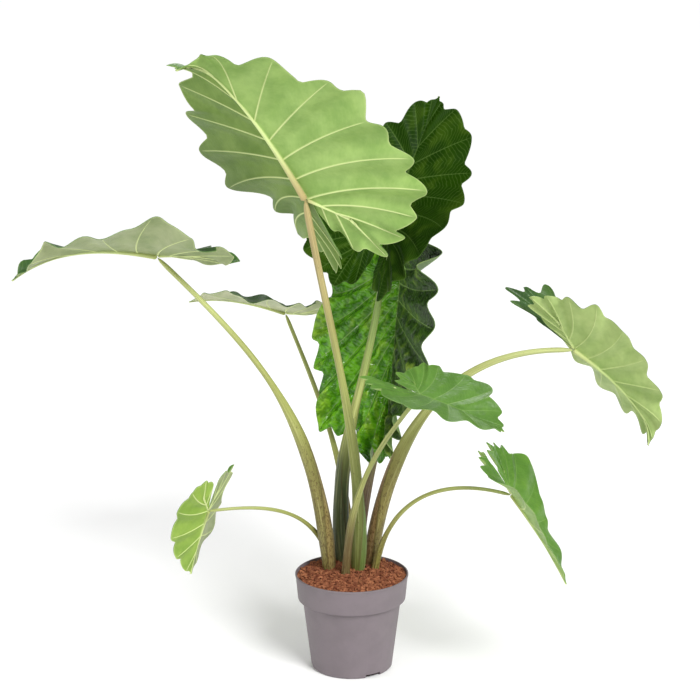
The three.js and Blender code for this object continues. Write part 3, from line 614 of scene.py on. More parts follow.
def rib_and_margin(leaf, half, q):
    """Flat places of the rib and of the margin at the vein numbers q of one half."""
    veins, basal = leaf.veins, leaf.basal
    front = np.clip(q / veins, 0, 1)
    outer = np.clip((q - veins) / basal, 0, 1)
    inner = np.clip((q - veins - basal) / basal, 0, 1)
    margin = outline_at(FRONT_SPANS * front + OUTER_SPANS * outer + INNER_SPANS * inner)
    along = EVEN_VEINS * (1 - front) + BARE_TIP * (1 - front) ** BARE_TIP_POWER
    out = BASAL_RIB_LENGTH * (outer - inner)
    rib = np.stack([along + out * cos(BASAL_RIB_ANGLE), out * sin(BASAL_RIB_ANGLE)], -1)

    # a round tooth at the end of each vein, with a notch nearer to one of its neighbours
    draw = draws(leaf.seed * SEEDS_A_LEAF + half, 2 * (vein_count(leaf) + 2))
    k = np.minimum(np.floor(q), vein_count(leaf)).astype(int)
    f = q - k
    notch = np.where(draw[vein_count(leaf) + 2 + k] > 0.5, NOTCHES[0], NOTCHES[1])
    size = TOOTH_LEAST + TOOTH_EXTRA * np.where(f < notch, draw[k], draw[k + 1])
    x = np.where(f < notch, f / notch, (1 - f) / (1 - notch))
    fade, end = (veins + share * basal for share in CLEFT_FADE)
    ends = ease(*TIP_FADE, q) * (1 - ease(fade, end, q))
    tooth = (1 - x * x) / 2 + (1 + np.cos(pi * x)) / 4
    bite = leaf.tooth * ends * (size * tooth - TOOTH_INSIDE)
    for side, vein, out, width in leaf.bays:
        if side == half:
            bite = bite + out * np.exp(-((q - vein) / width) ** 2)
    reach = np.maximum(np.linalg.norm(margin - rib, axis=-1), TINY)
    margin = margin + (margin - rib) * (bite / reach)[:, None]
    return rib, margin


def squeeze(leaf, half, flat):
    """Shears, widens and shortens flat places into this half's own form."""
    x = flat[..., 0] + leaf.shear[half] * flat[..., 1]
    return np.where(x < 0, x * leaf.lobe[half], x), flat[..., 1] * leaf.width[half]


def wave_at(leaf, half, q, t):
    """How far a blade rises from its smooth form, as a share of its length."""
    n = vein_count(leaf)
    draw = draws(leaf.seed * SEEDS_A_LEAF + WAVE_SEED + half, 2 * (n + 2))
    k = np.minimum(np.floor(q), n).astype(int)
    lift = np.where(draw[k] > DIP_CHANCE, 1, DIP) * (WAVE_LEAST + WAVE_EXTRA * draw[n + 2 + k])
    ends = ease(*TIP_FADE, q) * (1 - ease(n - WAVE_FADE[0], n - WAVE_FADE[1], q))
    swell = np.sin(pi * q) ** 2
    rise = ends * swell * (leaf.wave * t ** WAVE_POWER * lift + leaf.pucker * np.sin(pi * t))
    for side, vein, height, width in leaf.crests:
        if side == half:
            rise = rise + height * t ** 2 * np.exp(-((q - vein) / width) ** 2)
    return rise


def blade_half(leaf, half, q, t, lift=0, arch=True):
    """Points and up directions of one half blade: vein numbers q by shares t from rib to margin."""
    rib, margin = rib_and_margin(leaf, half, q)
    flat = rib + (margin - rib) * t[:, None, None]
    if arch:
        towards_tip = ARCH_ALL + ARCH_JUNCTION * np.exp(-((q - leaf.veins) / ARCH_REACH) ** 2)
        towards_tip = towards_tip * ease(*ARCH_FADE, q) * (q <= leaf.veins + leaf.basal)
        flat[..., 0] += towards_tip * 4 * (t * (1 - t))[:, None]
    x, y = squeeze(leaf, half, flat)
    table = blade_axis(leaf, half)
    right = np.array(leaf_frame(leaf)[1])
    lookup = np.stack([np.interp(x, table[:, 0], table[:, k]) for k in range(1, 7)], -1)
    point, up = lookup[..., :3], lookup[..., 3:]
    fold = leaf.fold[half]
    lobe_fold = leaf.lobe_fold[half] if leaf.lobe_fold else fold
    folded = ease(-leaf.lobe_from, 0.5 - leaf.lobe_from, -x)
    angle = np.radians(fold + (lobe_fold - fold) * folded)[..., None]
    side = 1 if half == 0 else -1
    across = side * right * np.cos(angle) + up * np.sin(angle)
    rise = up * np.cos(angle) - side * right * np.sin(angle)
    height = (wave_at(leaf, half, q[None], t[:, None]) + lift)[..., None]
    return point + (across * y[..., None] + rise * height) * leaf.length, rise


def blade_places(leaf, columns, rows):
    """Vein numbers and shares, close together at the veins, at the ribs and at the margin."""
    s = np.arange(vein_count(leaf) * columns + 1) / columns
    q = s - CREASE / tau * np.sin(tau * s)
    t = (1 - np.cos(pi * np.arange(rows + 1) / rows)) / 2
    return q, t


def fine_lift(leaf, half, q, t):
    """Ruffles along the margin and blisters between the veins: their height, and how strongly they get
    painted highlights and shade.
    """
    n = vein_count(leaf)
    seed = leaf.seed * SEEDS_A_LEAF + half
    ends = ease(*FINE_FADE, q) * (1 - ease(n - FINE_FADE[1], n - FINE_FADE[0], q))
    between = np.sin(pi * q) ** 2
    grid_q, grid_t = np.broadcast_arrays(q[None], t[:, None])
    ruffle = soft_noise(seed, grid_q * RUFFLES[0], grid_t * RUFFLES[1]) * grid_t ** RUFFLE_POWER
    blister = soft_noise(seed + BLISTER_SEED, grid_q * leaf.grain[0], grid_t * leaf.grain[1])
    blister *= np.sin(pi * grid_t) ** 0.5
    height = leaf.ruffle * ruffle + leaf.blister / leaf.length * BLISTER_SHARE * blister * between
    return ends * height, ends * (ruffle + blister * (BLISTER_SHARE + (1 - BLISTER_SHARE) * between))


def rib_radius(leaf, share):
    """Radius of the round midrib below the blade, share running from the junction to the tip."""
    return leaf.radii[-1] * (RIB_THIN + RIB_THICK * (1 - share) ** RIB_FALL)


def tube_rings(points, radii, depth_axis, sides):
    """Rings of a tube through points: (rings, sides + 1, 3). Its seam is on the side of -depth."""
    along = np.gradient(points, axis=0)
    along /= np.linalg.norm(along, axis=1, keepdims=True)
    depth = depth_axis - along * np.sum(along * depth_axis, 1)[:, None]
    depth /= np.linalg.norm(depth, axis=1, keepdims=True)
    width = np.cross(along, depth)
    angle = ring_angles(sides)[None, :, None]
    offset = width[:, None] * np.cos(angle) + depth[:, None] * np.sin(angle)
    return points[:, None] + offset * radii[:, None, None]


def ring_angles(sides):
    return tau * np.arange(sides + 1) / sides - pi / 2


def rib_tube(name, points, ups, radii, stem):
    """A round rib that runs under the blade and ends in closed tips."""
    closing = np.ones(len(points))
    closing[0] = closing[-1] = CLOSED
    centres = points - ups * (radii + RIB_GAP)[:, None]
    rings = tube_rings(centres, radii * closing, ups, RIB_SIDES)
    share = np.linspace(0, 1, len(points))[:, None]
    return sheet(name, rings, (np.zeros((1, 1)), share), {"rib": 1.0, "stem": stem[:, None]})


def rib_tubes(leaf):
    """The midrib and the two basal ribs."""
    q = np.linspace(leaf.veins, RIB_END, MIDRIB_RINGS)
    mid, ups = blade_half(leaf, 0, q, np.zeros(1), arch=False)
    _, other = blade_half(leaf, 1, q, np.zeros(1), arch=False)
    ups = ups[0] + other[0]
    ups /= np.linalg.norm(ups, axis=1, keepdims=True)
    share = np.linspace(0, 1, MIDRIB_RINGS)
    tubes = [rib_tube("midrib", mid[0], ups, rib_radius(leaf, share), 1 - ease(0, STEM_TINT, share))]
    share = np.linspace(0, 1, BASAL_RINGS)
    for half in (0, 1):
        q = np.linspace(leaf.veins, leaf.veins + leaf.basal, BASAL_RINGS)
        points, ups = blade_half(leaf, half, q, np.zeros(1), arch=False)
        radii = rib_radius(leaf, BASAL_RIB_START + (1 - BASAL_RIB_START) * share) * BASAL_RIB_SIZE
        stem = BASAL_STEM_STRENGTH * (1 - ease(0, BASAL_STEM_TINT, share))
        tubes.append(rib_tube("basal_rib", points[0], ups[0], radii, stem))
    return tubes


def make_blade(leaf, sizes, stems):
    """One blade: a grid with a thickness that grows along its veins, and round ribs below it."""
    q, t = blade_places(leaf, COLUMNS, ROWS_LARGE if leaf.length > LARGE_LEAF else ROWS_SMALL)
    scale = VEIN_LEAST + VEIN_EXTRA * leaf.length / LONGEST
    halves = []
    for half in (0, 1):
        plain, _ = blade_half(leaf, half, q, t)
        number = np.round(q)
        step = np.linalg.norm(np.gradient(plain, axis=1), axis=-1) / np.maximum(np.gradient(q), TINY)
        off_vein = np.abs(q - number) * step
        from_rib = np.linalg.norm(plain - plain[:1], axis=-1)
        to_margin = np.linalg.norm(plain - plain[-1:], axis=-1)
        width = sizes.vein_width * scale * (1 - VEIN_TAPER * t)[:, None]
        inner = (number > 0) & (number < vein_count(leaf))
        vein = np.exp(-(off_vein / width) ** 2) * inner * (1 - ease(VEIN_END, 1, t))[:, None]
        rib = np.exp(-(from_rib / (RIB_SPREAD * sizes.vein_width * scale)) ** 2)
        mask = np.maximum(vein, rib)
        fine, relief = fine_lift(leaf, half, q, t)
        lift = fine + (sizes.thickness / 2 - VEIN_SINK * scale * mask) / leaf.length
        points, _ = blade_half(leaf, half, q, t, lift)
        depth = sizes.thickness + sizes.vein_height * scale * mask * (1 - VEIN_SLOPE * t)[:, None]
        rim = np.exp(-(to_margin / RIM_WIDTH) ** 2)
        halves.append((points, mask, rim, depth, from_rib, relief))
    points, mask, rim, depth, from_rib, relief = (
        np.concatenate([a[:, ::-1], b[:, 1:]], 1) for a, b in zip(*halves))
    number = np.concatenate([HALF_MARK + q[::-1], q[1:]])
    blade = sheet(f"leaf_{leaf.name}", points, (number[None], from_rib),
                  {"rib": mask, "rim": rim, "depth": depth, "relief": relief})
    edit(blade, merge)
    mesh = blade.data
    up = Vector(leaf_frame(leaf)[2])
    if sum(p.normal.dot(up) * p.area for p in mesh.polygons) < 0:
        edit(blade, bpy.ops.mesh.flip_normals)
    deepest = float(depth.max())
    group = blade.vertex_groups.new(name="depth")
    for i, item in enumerate(mesh.attributes["depth"].data):
        group.add([i], item.value / deepest, "REPLACE")
    for side in ("top", "under"):
        mesh.materials.append(blade_material(leaf, sizes, stems, side))
    apply_modifier(blade, "SOLIDIFY", thickness=deepest, offset=-1, vertex_group="depth",
                   material_offset=1, material_offset_rim=0, use_rim=True)
    blade.vertex_groups.clear()
    tubes = rib_tubes(leaf)
    for tube in tubes:
        edit(tube, merge, outward)
        tube.data.materials.append(blade.data.materials[1])
    blade = join(blade.name, [blade, *tubes])
    return finish_piece(blade, f"blade_{leaf.name}", SMOOTH_BLADE)


# ---------------------------------------------------------------- stalks
def stalk_path(leaf, u):
    """Points of the stalk's curve, from inside the soil to the underside of the blade."""
    start = np.array((*leaf.foot, STALK_BOTTOM))
    end = np.array(leaf.at) - np.array(leaf_frame(leaf)[2]) * leaf.radii[-1]
    rise, arrive = (np.array(v, float) / np.linalg.norm(v) for v in (leaf.rise, leaf.arrive))
    b, c = start + rise * leaf.lower, end - arrive * leaf.upper
    u = u[:, None]
    return (1 - u) ** 3 * start + 3 * (1 - u) ** 2 * u * b + 3 * (1 - u) * u * u * c + u ** 3 * end


def stalk_radii(leaf, u):
    stations = np.array(STALK_STATIONS)
    i = np.clip(np.searchsorted(stations, u - HAIR), 1, len(stations) - 1)
    f = (u - stations[i - 1]) / (stations[i] - stations[i - 1])
    radii = np.array(leaf.radii)
    return radii[i - 1] + (radii[i] - radii[i - 1]) * ease(0, 1, f)


def make_stalk(leaf, sizes):
    """One stalk: a tube, flattened across its arch, with a sheath that opens on the arch's side."""
    u = np.linspace(0, 1, STALK_RINGS)
    points = stalk_path(leaf, u)
    chord = points[-1] - points[0]
    chord /= np.linalg.norm(chord)
    start = points[1] - points[0]
    arch = start - chord * (start @ chord)
    arch /= np.linalg.norm(arch)
    radii = stalk_radii(leaf, u)
    closing = np.ones(STALK_RINGS)
    closing[0] = CLOSED
    tip = np.linspace(0, 1, STALK_TIP + 1)[1:]
    closing[-STALK_TIP:] = np.sqrt(1 - tip ** 2) + CLOSED

    # the sheath's two lips close in on each other upwards
    fade = 1 - ease(SHEATH_END - SHEATH_FADE[0], SHEATH_END + SHEATH_FADE[1], u)
    sheathed = (fade * ease(*SHEATH_START, u))[:, None]
    angle = ring_angles(STALK_SIDES)
    lip_at = (LIP_LOW + (LIP_HIGH - LIP_LOW) * ease(SHEATH_START[1], SHEATH_END, u))[:, None]
    past_lip = np.abs(angle - pi / 2)[None] - lip_at
    lips = np.exp(-(past_lip / LIP_WIDTH) ** 2)
    inside = 1 - ease(*CHANNEL_EDGE, past_lip)
    knob = np.exp(-((u - SHEATH_END) / KNOB_LENGTH) ** 2)[:, None] * np.exp(-(past_lip / KNOB_WIDTH) ** 2)
    profile = sizes.sheath * (radii / radii.max())[:, None] * (
        sheathed * (LIP_HEIGHT * lips - CHANNEL_DEPTH * inside) + KNOB_HEIGHT * knob)
    offset = tube_rings(points, np.ones(STALK_RINGS), arch, STALK_SIDES) - points[:, None]
    lumps = soft_noise(leaf.seed, *np.broadcast_arrays(u[:, None] * LUMPS_ALONG, angle))
    offset = offset * ((radii[:, None] * (1 + STALK_LUMPS * lumps) + profile) * closing[:, None])[..., None]
    offset -= np.sum(offset * arch, -1, keepdims=True) * arch * (1 - STALK_DEPTH)
    skin = points[:, None] + offset
    skin[:, -1] = skin[:, 0]
    length = np.cumsum(np.linalg.norm(np.gradient(points, axis=0), axis=1))
    around = (angle + pi / 2) / tau
    stalk = sheet(f"petiole_{leaf.name}", skin, (around[None], length[:, None]),
                  {"along": u[:, None], "lip": sheathed * np.exp(-(past_lip / LIP_TINT_WIDTH) ** 2),
                   "inner": sheathed * inside})
    edit(stalk, merge, outward)
    stalk.data.materials.append(stalk_material(leaf, sizes))
    return finish_piece(stalk, f"stalk_{leaf.name}")


# ---------------------------------------------------------------- pot and soil
def make_pot(sizes):
    """The pot: its profile is spun, and the drain notches are cut out of its foot."""
    rim, top, wall = sizes.rim_radius, sizes.height, sizes.wall
    band, band_z = sizes.band_radius, sizes.band_height
    floor_share = sizes.floor / sizes.body_height
    floor_radius = sizes.base_radius + (sizes.body_radius - sizes.base_radius) * floor_share - wall
    profile = [
        (0, 0), (sizes.base_radius - CHAMFER, 0), (sizes.base_radius, CHAMFER),
        (sizes.body_radius, sizes.body_height), (band - BAND_STEP / 2, band_z - 1.5 * BAND_STEP),
        (band, band_z - BAND_STEP), (rim - LIP_STEP, top - BAND_STEP - LIP_STEP), (rim, top - BAND_STEP),
        (rim, top - 0.8 * LIP_STEP), (rim - LIP_STEP, top), (rim - RIM_INSET - wall, top),
        (band - wall, band_z), (sizes.body_radius - wall, sizes.body_height + LIP_STEP),
        (floor_radius, sizes.floor), (0, sizes.floor),
    ]
    bpy.ops.object.select_all(action="DESELECT")
    bpy.ops.mesh.primitive_circle_add(vertices=len(profile), radius=1)
    pot = bpy.context.object
    for vertex, (radius, height) in zip(pot.data.vertices, profile):
        vertex.co = (radius, 0, height)

    def spin():
        bpy.ops.mesh.spin(steps=POT_STEPS, angle=tau, center=(0, 0, 0), axis=(0, 0, 1))

    def clean():
        bpy.ops.mesh.dissolve_degenerate(threshold=MERGE_DISTANCE / 2)

    edit(pot, spin, merge, clean, outward)
    for turn in DRAIN_TURNS:
        bpy.ops.object.select_all(action="DESELECT")
        place = (sizes.base_radius * cos(turn), sizes.base_radius * sin(turn), 0)
        bpy.ops.mesh.primitive_cube_add(size=1, location=place, rotation=(0, 0, turn))
        cutter = bpy.context.object
        cutter.scale = (2 * DRAIN_DEPTH, sizes.notch_width, 2 * sizes.notch_height)
        bpy.ops.object.transform_apply(location=True, rotation=True, scale=True)
        apply_modifier(pot, "BOOLEAN", object=cutter, operation="DIFFERENCE", solver="EXACT")
        bpy.data.objects.remove(cutter)
    apply_modifier(pot, "BEVEL", width=BEVEL, segments=3, limit_method="ANGLE", angle_limit=BEVEL_FROM)
    pot.name = pot.data.name = "nursery_pot"
    pot.data.materials.append(pot_material(sizes))
    return finish_piece(pot, "pot", SMOOTH_POT)


def soil_height(sizes, x, y, edge_radius):
    """Height of the soil's lumpy top, with a mound round each stalk."""
    share = np.hypot(x, y) / edge_radius
    rough = sum(lump * soft_noise(seed, x / length, y / length) for seed, lump, length in SOIL_LUMPS)
    height = sizes.edge + sizes.dome * (1 - share ** 2) + rough * (1 - ease(LUMPS_FADE, 1, share))
    for leaf in LEAVES:
        near = np.hypot(x - leaf.foot[0], y - leaf.foot[1]) / (leaf.radii[0] * MOUND_REACH)
        height = height + MOUND * np.exp(-near ** 2)
    return height


def make_chips(sizes, edge):
    """Loose chips on the soil: bent slivers with six corners above and below, seeded."""
    rng = np.random.RandomState(CHIP_SEED)
    sides = len(SLIVER)
    corners, faces, tones = [], [], []
    for _ in range(sizes.chips):
        radius = edge * CHIP_REACH * rng.uniform() ** 0.5
        turn = rng.uniform(0, tau)
        x, y = radius * cos(turn), radius * sin(turn)
        if any(np.hypot(x - leaf.foot[0], y - leaf.foot[1]) < leaf.radii[0] * CHIP_KEEP_OFF
               for leaf in LEAVES):
            continue
        size = sizes.chip_size * rng.uniform(*CHIP_SIZES)
        shape = SLIVER * (size, size * rng.uniform(*CHIP_WIDTHS), size)
        shape = shape + rng.normal(0, CHIP_CORNER_DRIFT * size, SLIVER.shape)
        half = np.array((0, 0, size * rng.uniform(*CHIP_THICKNESSES) / 2))
        both = np.concatenate([shape + half, shape * (CHIP_UNDERSIDE, CHIP_UNDERSIDE, 1) - half])
        spin = Quaternion((0, 0, 1), rng.uniform(0, tau))
        tilt = (Quaternion((1, 0, 0), rng.normal(0, CHIP_TILT))
                @ Quaternion((0, 1, 0), rng.normal(0, CHIP_TILT)))
        z = float(soil_height(sizes, np.array(x), np.array(y), edge)) + CHIP_LIFT * size
        base = len(corners) * 2 * sides
        corners.append(both @ np.array((spin @ tilt).to_matrix()).T + (x, y, z))
        tones.append(np.full(2 * sides, rng.uniform()))
        faces.append([base + k for k in range(sides)])
        faces.append([base + 2 * sides - 1 - k for k in range(sides)])
        for k in range(sides):
            after = (k + 1) % sides
            faces.append([base + k, base + sides + k, base + sides + after, base + after])
    mesh = bpy.data.meshes.new("chips")
    mesh.from_pydata(np.concatenate(corners).tolist(), [], faces)
    tone = mesh.attributes.new("chip", "FLOAT", "POINT")
    tone.data.foreach_set("value", np.concatenate(tones).astype(np.float32))
    chips = bpy.data.objects.new("chips", mesh)
    bpy.context.scene.collection.objects.link(chips)
    edit(chips, outward)
    return chips


def make_soil(sizes, pot):
    """The soil: a lumpy top, and sides that follow the inside of the pot down to its floor."""
    slope = (pot.rim_radius - RIM_INSET - pot.band_radius) / (pot.height - pot.band_height)
    edge = pot.band_radius + slope * (sizes.edge - pot.band_height) - pot.wall - CLEARANCE
    share = np.linspace(0, 1, SOIL_RINGS)[:, None]
    angle = (tau * np.arange(SOIL_SIDES + 1) / SOIL_SIDES)[None]
    x, y = edge * share * np.cos(angle), edge * share * np.sin(angle)
    top = np.stack([x, y, soil_height(sizes, x, y, edge)], -1)
    skirt = np.array([
        (pot.band_radius - pot.wall - CLEARANCE, pot.band_height),
        (pot.body_radius - pot.wall - BODY_GAP[0], pot.body_height - BODY_GAP[1]),
        (pot.base_radius - CHAMFER, pot.floor + CLEARANCE), (0, pot.floor + CLEARANCE)])
    radius, height = skirt.T[..., None]
    sides = np.stack([radius * np.cos(angle), radius * np.sin(angle), height + 0 * angle], -1)
    rows = np.concatenate([top, sides])
    rows[:, -1] = rows[:, 0]
    soil = sheet("coir_soil", rows, (angle, np.arange(len(rows))[:, None]), {"chip": 0.5})
    edit(soil, merge, outward)
    soil = join("coir_soil", [soil, make_chips(sizes, edge)])
    soil.data.materials.append(soil_material(sizes))
    return finish_piece(soil, "soil", SMOOTH_SOIL)


# ---------------------------------------------------------------- materials
class Tree:
    """Adds and links shader nodes in a material or a node group."""

    def __init__(self, tree):
        self.nodes, self.links = tree.nodes, tree.links

    def add(self, kind, *feeds, out=0, **values):
        """Adds a node, sets its values, feeds its inputs in order and returns one of its outputs."""
        node = self.nodes.new("ShaderNode" + kind)
        for key, value in values.items():
            setattr(node, key, value)
        for i, feed in enumerate(feeds):
            self.feed(node.inputs[i], feed)
        return node.outputs[out]

    def feed(self, socket, feed):
        if feed is None:
            return
        if isinstance(feed, bpy.types.NodeSocket):
            self.links.new(feed, socket)
        elif socket.type == "RGBA" and len(feed) == 3:
            socket.default_value = (*feed, 1)
        else:
            socket.default_value = feed

    def math(self, operation, a, b):
        return self.add("Math", a, b, operation=operation)

    def times(self, a, b):
        return self.math("MULTIPLY", a, b)

    def mark(self, name):
        return self.add("Attribute", attribute_name=name, out=2)

    def place(self):
        """Places in the piece's own space."""
        return self.add("TexCoord", out=3)

    def own_map(self):
        """Both coordinates of the piece's own map."""
        self.add("SeparateXYZ", self.add("UVMap", uv_map="UVMap"))
        return self.nodes[-1].outputs[:2]

    def noise(self, vector, scale, detail=2.0, roughness=0.5):
        node = self.nodes.new("ShaderNodeTexNoise")
        self.feed(node.inputs["Vector"], vector)
        for key, value in (("Scale", scale), ("Detail", detail), ("Roughness", roughness)):
            self.feed(node.inputs[key], value)
        return node.outputs["Fac"]

    def mix(self, factor, a, b):
        node = self.nodes.new("ShaderNodeMix")
        node.data_type = "RGBA"
        self.feed(node.inputs[0], factor)
        self.feed(node.inputs[6], a)
        self.feed(node.inputs[7], b)
        return node.outputs[2]

    def blend(self, kind, a, b):
        """Mixes two colours fully in one of the blend modes."""
        colour = self.mix(1.0, a, b)
        self.nodes[-1].blend_type = kind
        return colour

    def span(self, value, low, high, to_low=0.0, to_high=1.0):
        """Maps a value smoothly between two limits."""
        return self.add("MapRange", value, low, high, to_low, to_high, interpolation_type="SMOOTHSTEP")


def node_group(name, inputs, outputs):
    """A shader node group with named sockets, its tree, its input node and its output node."""
    group = bpy.data.node_groups.new(name, "ShaderNodeTree")
    for label, kind, value in inputs:
        socket = group.interface.new_socket(label, in_out="INPUT", socket_type="NodeSocket" + kind)
        if value is not None:
            socket.default_value = value
    for label, kind in outputs:
        group.interface.new_socket(label, in_out="OUTPUT", socket_type="NodeSocket" + kind)
    tree = Tree(group)
    return group, tree, group.nodes.new("NodeGroupInput"), group.nodes.new("NodeGroupOutput")


def colour_drift_group():
    """Two colours that drift into each other in soft patches."""
    group, tree, given, result = node_group(
        "Colour Drift",
        [("Vector", "Vector", None), ("Colour A", "Color", None), ("Colour B", "Color", None),
         ("Scale", "Float", 20.0)],
        [("Colour", "Color")])
    feed = given.outputs
    patches = tree.span(tree.noise(feed["Vector"], feed["Scale"], 4.0, 0.6), *NOISE_MIDDLE)
    tree.feed(result.inputs["Colour"], tree.mix(patches, feed["Colour A"], feed["Colour B"]))
    return group


def fine_grain_group():
    """Fine relief that every surface has at its own scale."""
    group, tree, given, result = node_group(
        "Fine Grain", [("Vector", "Vector", None), ("Scale", "Float", 900.0)], [("Height", "Float")])
    feed = given.outputs
    tree.feed(result.inputs["Height"], tree.noise(feed["Vector"], feed["Scale"], 3.0, 0.6))
    return group


def veinlet_group():
    """Small veins that run from vein to vein in chevrons, by the blade's own map."""
    group, tree, given, result = node_group(
        "Leaf Veinlets", [("Spacing", "Float", 0.006)], [("Line", "Float"), ("Pleats", "Float")])
    number, distance = tree.own_map()
    across = tree.math("PINGPONG", number, 0.5)      # from a vein (0) to midway between two (0.5)
    wander = tree.noise(tree.place(), WANDER_SCALE)
    along = tree.math("DIVIDE", distance, given.outputs["Spacing"])
    along = tree.math("SUBTRACT", along, tree.times(across, VEINLET_SLANT))
    along = tree.math("ADD", along, tree.times(wander, VEINLET_WANDER))
    line = tree.math("PINGPONG", along, 0.5)
    tree.feed(result.inputs["Line"], tree.span(line, 0.0, VEINLET_WIDTH, 1.0, 0.0))
    pleats = tree.times(tree.span(line, 0.0, 0.5), tree.span(across, *CHEVRON_SPAN))
    tree.feed(result.inputs["Pleats"], pleats)
    return group


def speckle_group():
    """Brown flecks, longer along the stalk than across it."""
    group, tree, given, result = node_group(
        "Speckles", [("Vector", "Vector", None), ("Scale", "Float", 700.0), ("Amount", "Float", 0.5)],
        [("Mask", "Float")])
    stretched = tree.nodes.new("ShaderNodeMapping")
    tree.feed(stretched.inputs["Vector"], given.outputs["Vector"])
    stretched.inputs["Scale"].default_value = (1, 1, SPECKLE_STRETCH)
    fleck = tree.noise(stretched.outputs[0], given.outputs["Scale"], 3.0, 0.7)
    limit = tree.math("SUBTRACT", 0.66, tree.times(given.outputs["Amount"], 0.16))
    mask = tree.add("MapRange", fleck, limit, tree.math("ADD", limit, 0.05), 0.0, 1.0)
    tree.feed(result.inputs["Mask"], mask)
    return group


def leaf_surface_group():
    """Colour, roughness and relief of a blade, with its two halves, veins, painted highlights and shade on
    its relief and blisters, and thin edge.
    """
    group, tree, given, result = node_group(
        "Leaf Surface",
        [("Vector", "Vector", None), ("Right", "Color", None), ("Left", "Color", None),
         ("Vein", "Color", None), ("Stem", "Color", None), ("Vein Strength", "Float", 0.6),
         ("Veinlets", "Float", 0.1), ("Pleats", "Float", 0.5), ("Gloss Right", "Float", 0.5),
         ("Gloss Left", "Float", 0.5), ("Mottle", "Float", 0.3)],
        [("Colour", "Color"), ("Roughness", "Float"), ("Height", "Float")])
    feed = given.outputs
    on_right = tree.math("GREATER_THAN", tree.own_map()[0], HALF_MARK - 1.0)
    body = tree.mix(on_right, feed["Left"], feed["Right"])
    drift = use_group(tree, "Colour Drift", Vector=feed["Vector"], Colour_A=LEAF_SHADE,
                      Colour_B=(1.0, 1.0, 1.0), Scale=LEAF_PATCHES)
    body = tree.blend("MULTIPLY", body, drift["Colour"])

    # painted light on the modelled relief, then on smaller blisters: a painted highlight where they rise and
    # painted shade in between
    relief = tree.mark("relief")
    high = tree.times(tree.span(relief, 0.0, 0.7), feed["Mottle"])
    body = tree.mix(tree.times(high, BLISTER_STRENGTH), body, tint(BLISTER_HIGHLIGHT))
    blisters = tree.span(tree.noise(feed["Vector"], BLISTER_SCALE, 1.0), *BLISTER_SPAN)
    for share, painted_shading in ((tree.span(relief, -0.7, 0.0, 1.0, 0.0), HOLLOW_SHADE),
                         (tree.math("SUBTRACT", 1.0, blisters), PIT_SHADE), (blisters, DOME_HIGHLIGHT)):
        body = tree.mix(tree.times(share, feed["Mottle"]), body, tree.blend("MULTIPLY", body, painted_shading))

    veinlets = use_group(tree, "Leaf Veinlets", Spacing=VEINLET_SPACING)
    for mask, strength in ((veinlets["Line"], feed["Veinlets"]), (tree.mark("rib"), feed["Vein Strength"]),
                           (tree.mark("rim"), tree.times(feed["Vein Strength"], 0.5))):
        body = tree.mix(tree.times(mask, strength), body, feed["Vein"])
    tree.feed(result.inputs["Colour"], tree.mix(tree.mark("stem"), body, feed["Stem"]))
    gloss = tree.add("MapRange", on_right, 0.0, 1.0, feed["Gloss Left"], feed["Gloss Right"])
    dull = tree.math("SUBTRACT", DULL, tree.times(gloss, GLOSS_EFFECT))
    grain, uneven = fine_grain(tree, feed["Vector"], 420.0, 0.85, 1.2)
    tree.feed(result.inputs["Roughness"], tree.times(dull, uneven))
    height = tree.math("ADD", tree.times(veinlets["Pleats"], PLEAT_SHARE), blisters)
    height = tree.times(height, feed["Pleats"])
    tree.feed(result.inputs["Height"], tree.math("ADD", height, tree.times(grain, GRAIN_SHARE)))
    return group


GROUP_MAKERS = {
    "Colour Drift": colour_drift_group, "Fine Grain": fine_grain_group, "Leaf Veinlets": veinlet_group,
    "Leaf Surface": leaf_surface_group, "Speckles": speckle_group,
}


def material_start(name):
    """A new material with its tree and its shader node."""
    material = bpy.data.materials.new(name)
    material.use_nodes = True
    tree = Tree(material.node_tree)
    return material, tree, tree.nodes.get("Principled BSDF")


def use_group(tree, name, **values):
    """Places a shared node group and returns its outputs."""
    group = bpy.data.node_groups.get(name) or GROUP_MAKERS[name]()
    node = tree.nodes.new("ShaderNodeGroup")
    node.node_tree = group
    for key, value in values.items():
        tree.feed(node.inputs[key.replace("_", " ")], value)
    return node.outputs


def fine_grain(tree, place, scale, low, high):
    """Fine relief, and a value from low to high that follows it."""
    height = use_group(tree, "Fine Grain", Vector=place, Scale=scale)["Height"]
    return height, tree.span(height, *NOISE_MIDDLE, low, high)


def bump(tree, shader, height, strength, distance):
    node = tree.nodes.new("ShaderNodeBump")
    for key, value in (("Strength", strength), ("Distance", distance), ("Height", height)):
        tree.feed(node.inputs[key], value)
    tree.feed(shader.inputs["Normal"], node.outputs[0])


def darker(colour, share):
    """A colour with a share of its light; above 1 it is brighter."""
    return tuple(c * share for c in colour)


def blade_material(leaf, sizes, stems, side):
    """The glossy upper side or the paler, duller underside of a blade."""
    material, tree, shader = material_start(f"leaf_{leaf.name}_{side}")
    on_top = side == "top"
    right, left = (tuple(getattr(sizes, tone)) for tone in (leaf.top if on_top else leaf.under))
    look = leaf if on_top else UNDERSIDE
    surface = use_group(
        tree, "Leaf Surface", Vector=tree.place(), Right=right, Left=left,
        Vein=tuple(sizes.vein_top if on_top else sizes.vein), Stem=tuple(getattr(stems, f"{leaf.stem}_top")),
        Vein_Strength=leaf.veining * VEIN_STRENGTHS[not on_top], Veinlets=VEINLET_STRENGTHS[not on_top],
        Pleats=look.pleats, Mottle=look.mottle, Gloss_Right=look.gloss[0], Gloss_Left=look.gloss[1])
    tree.feed(shader.inputs["Base Color"], surface["Colour"])
    tree.feed(shader.inputs["Roughness"], surface["Roughness"])
    shader.inputs["Specular IOR Level"].default_value = look.sheen
    bump(tree, shader, surface["Height"], strength=0.5, distance=0.0016)
    return material


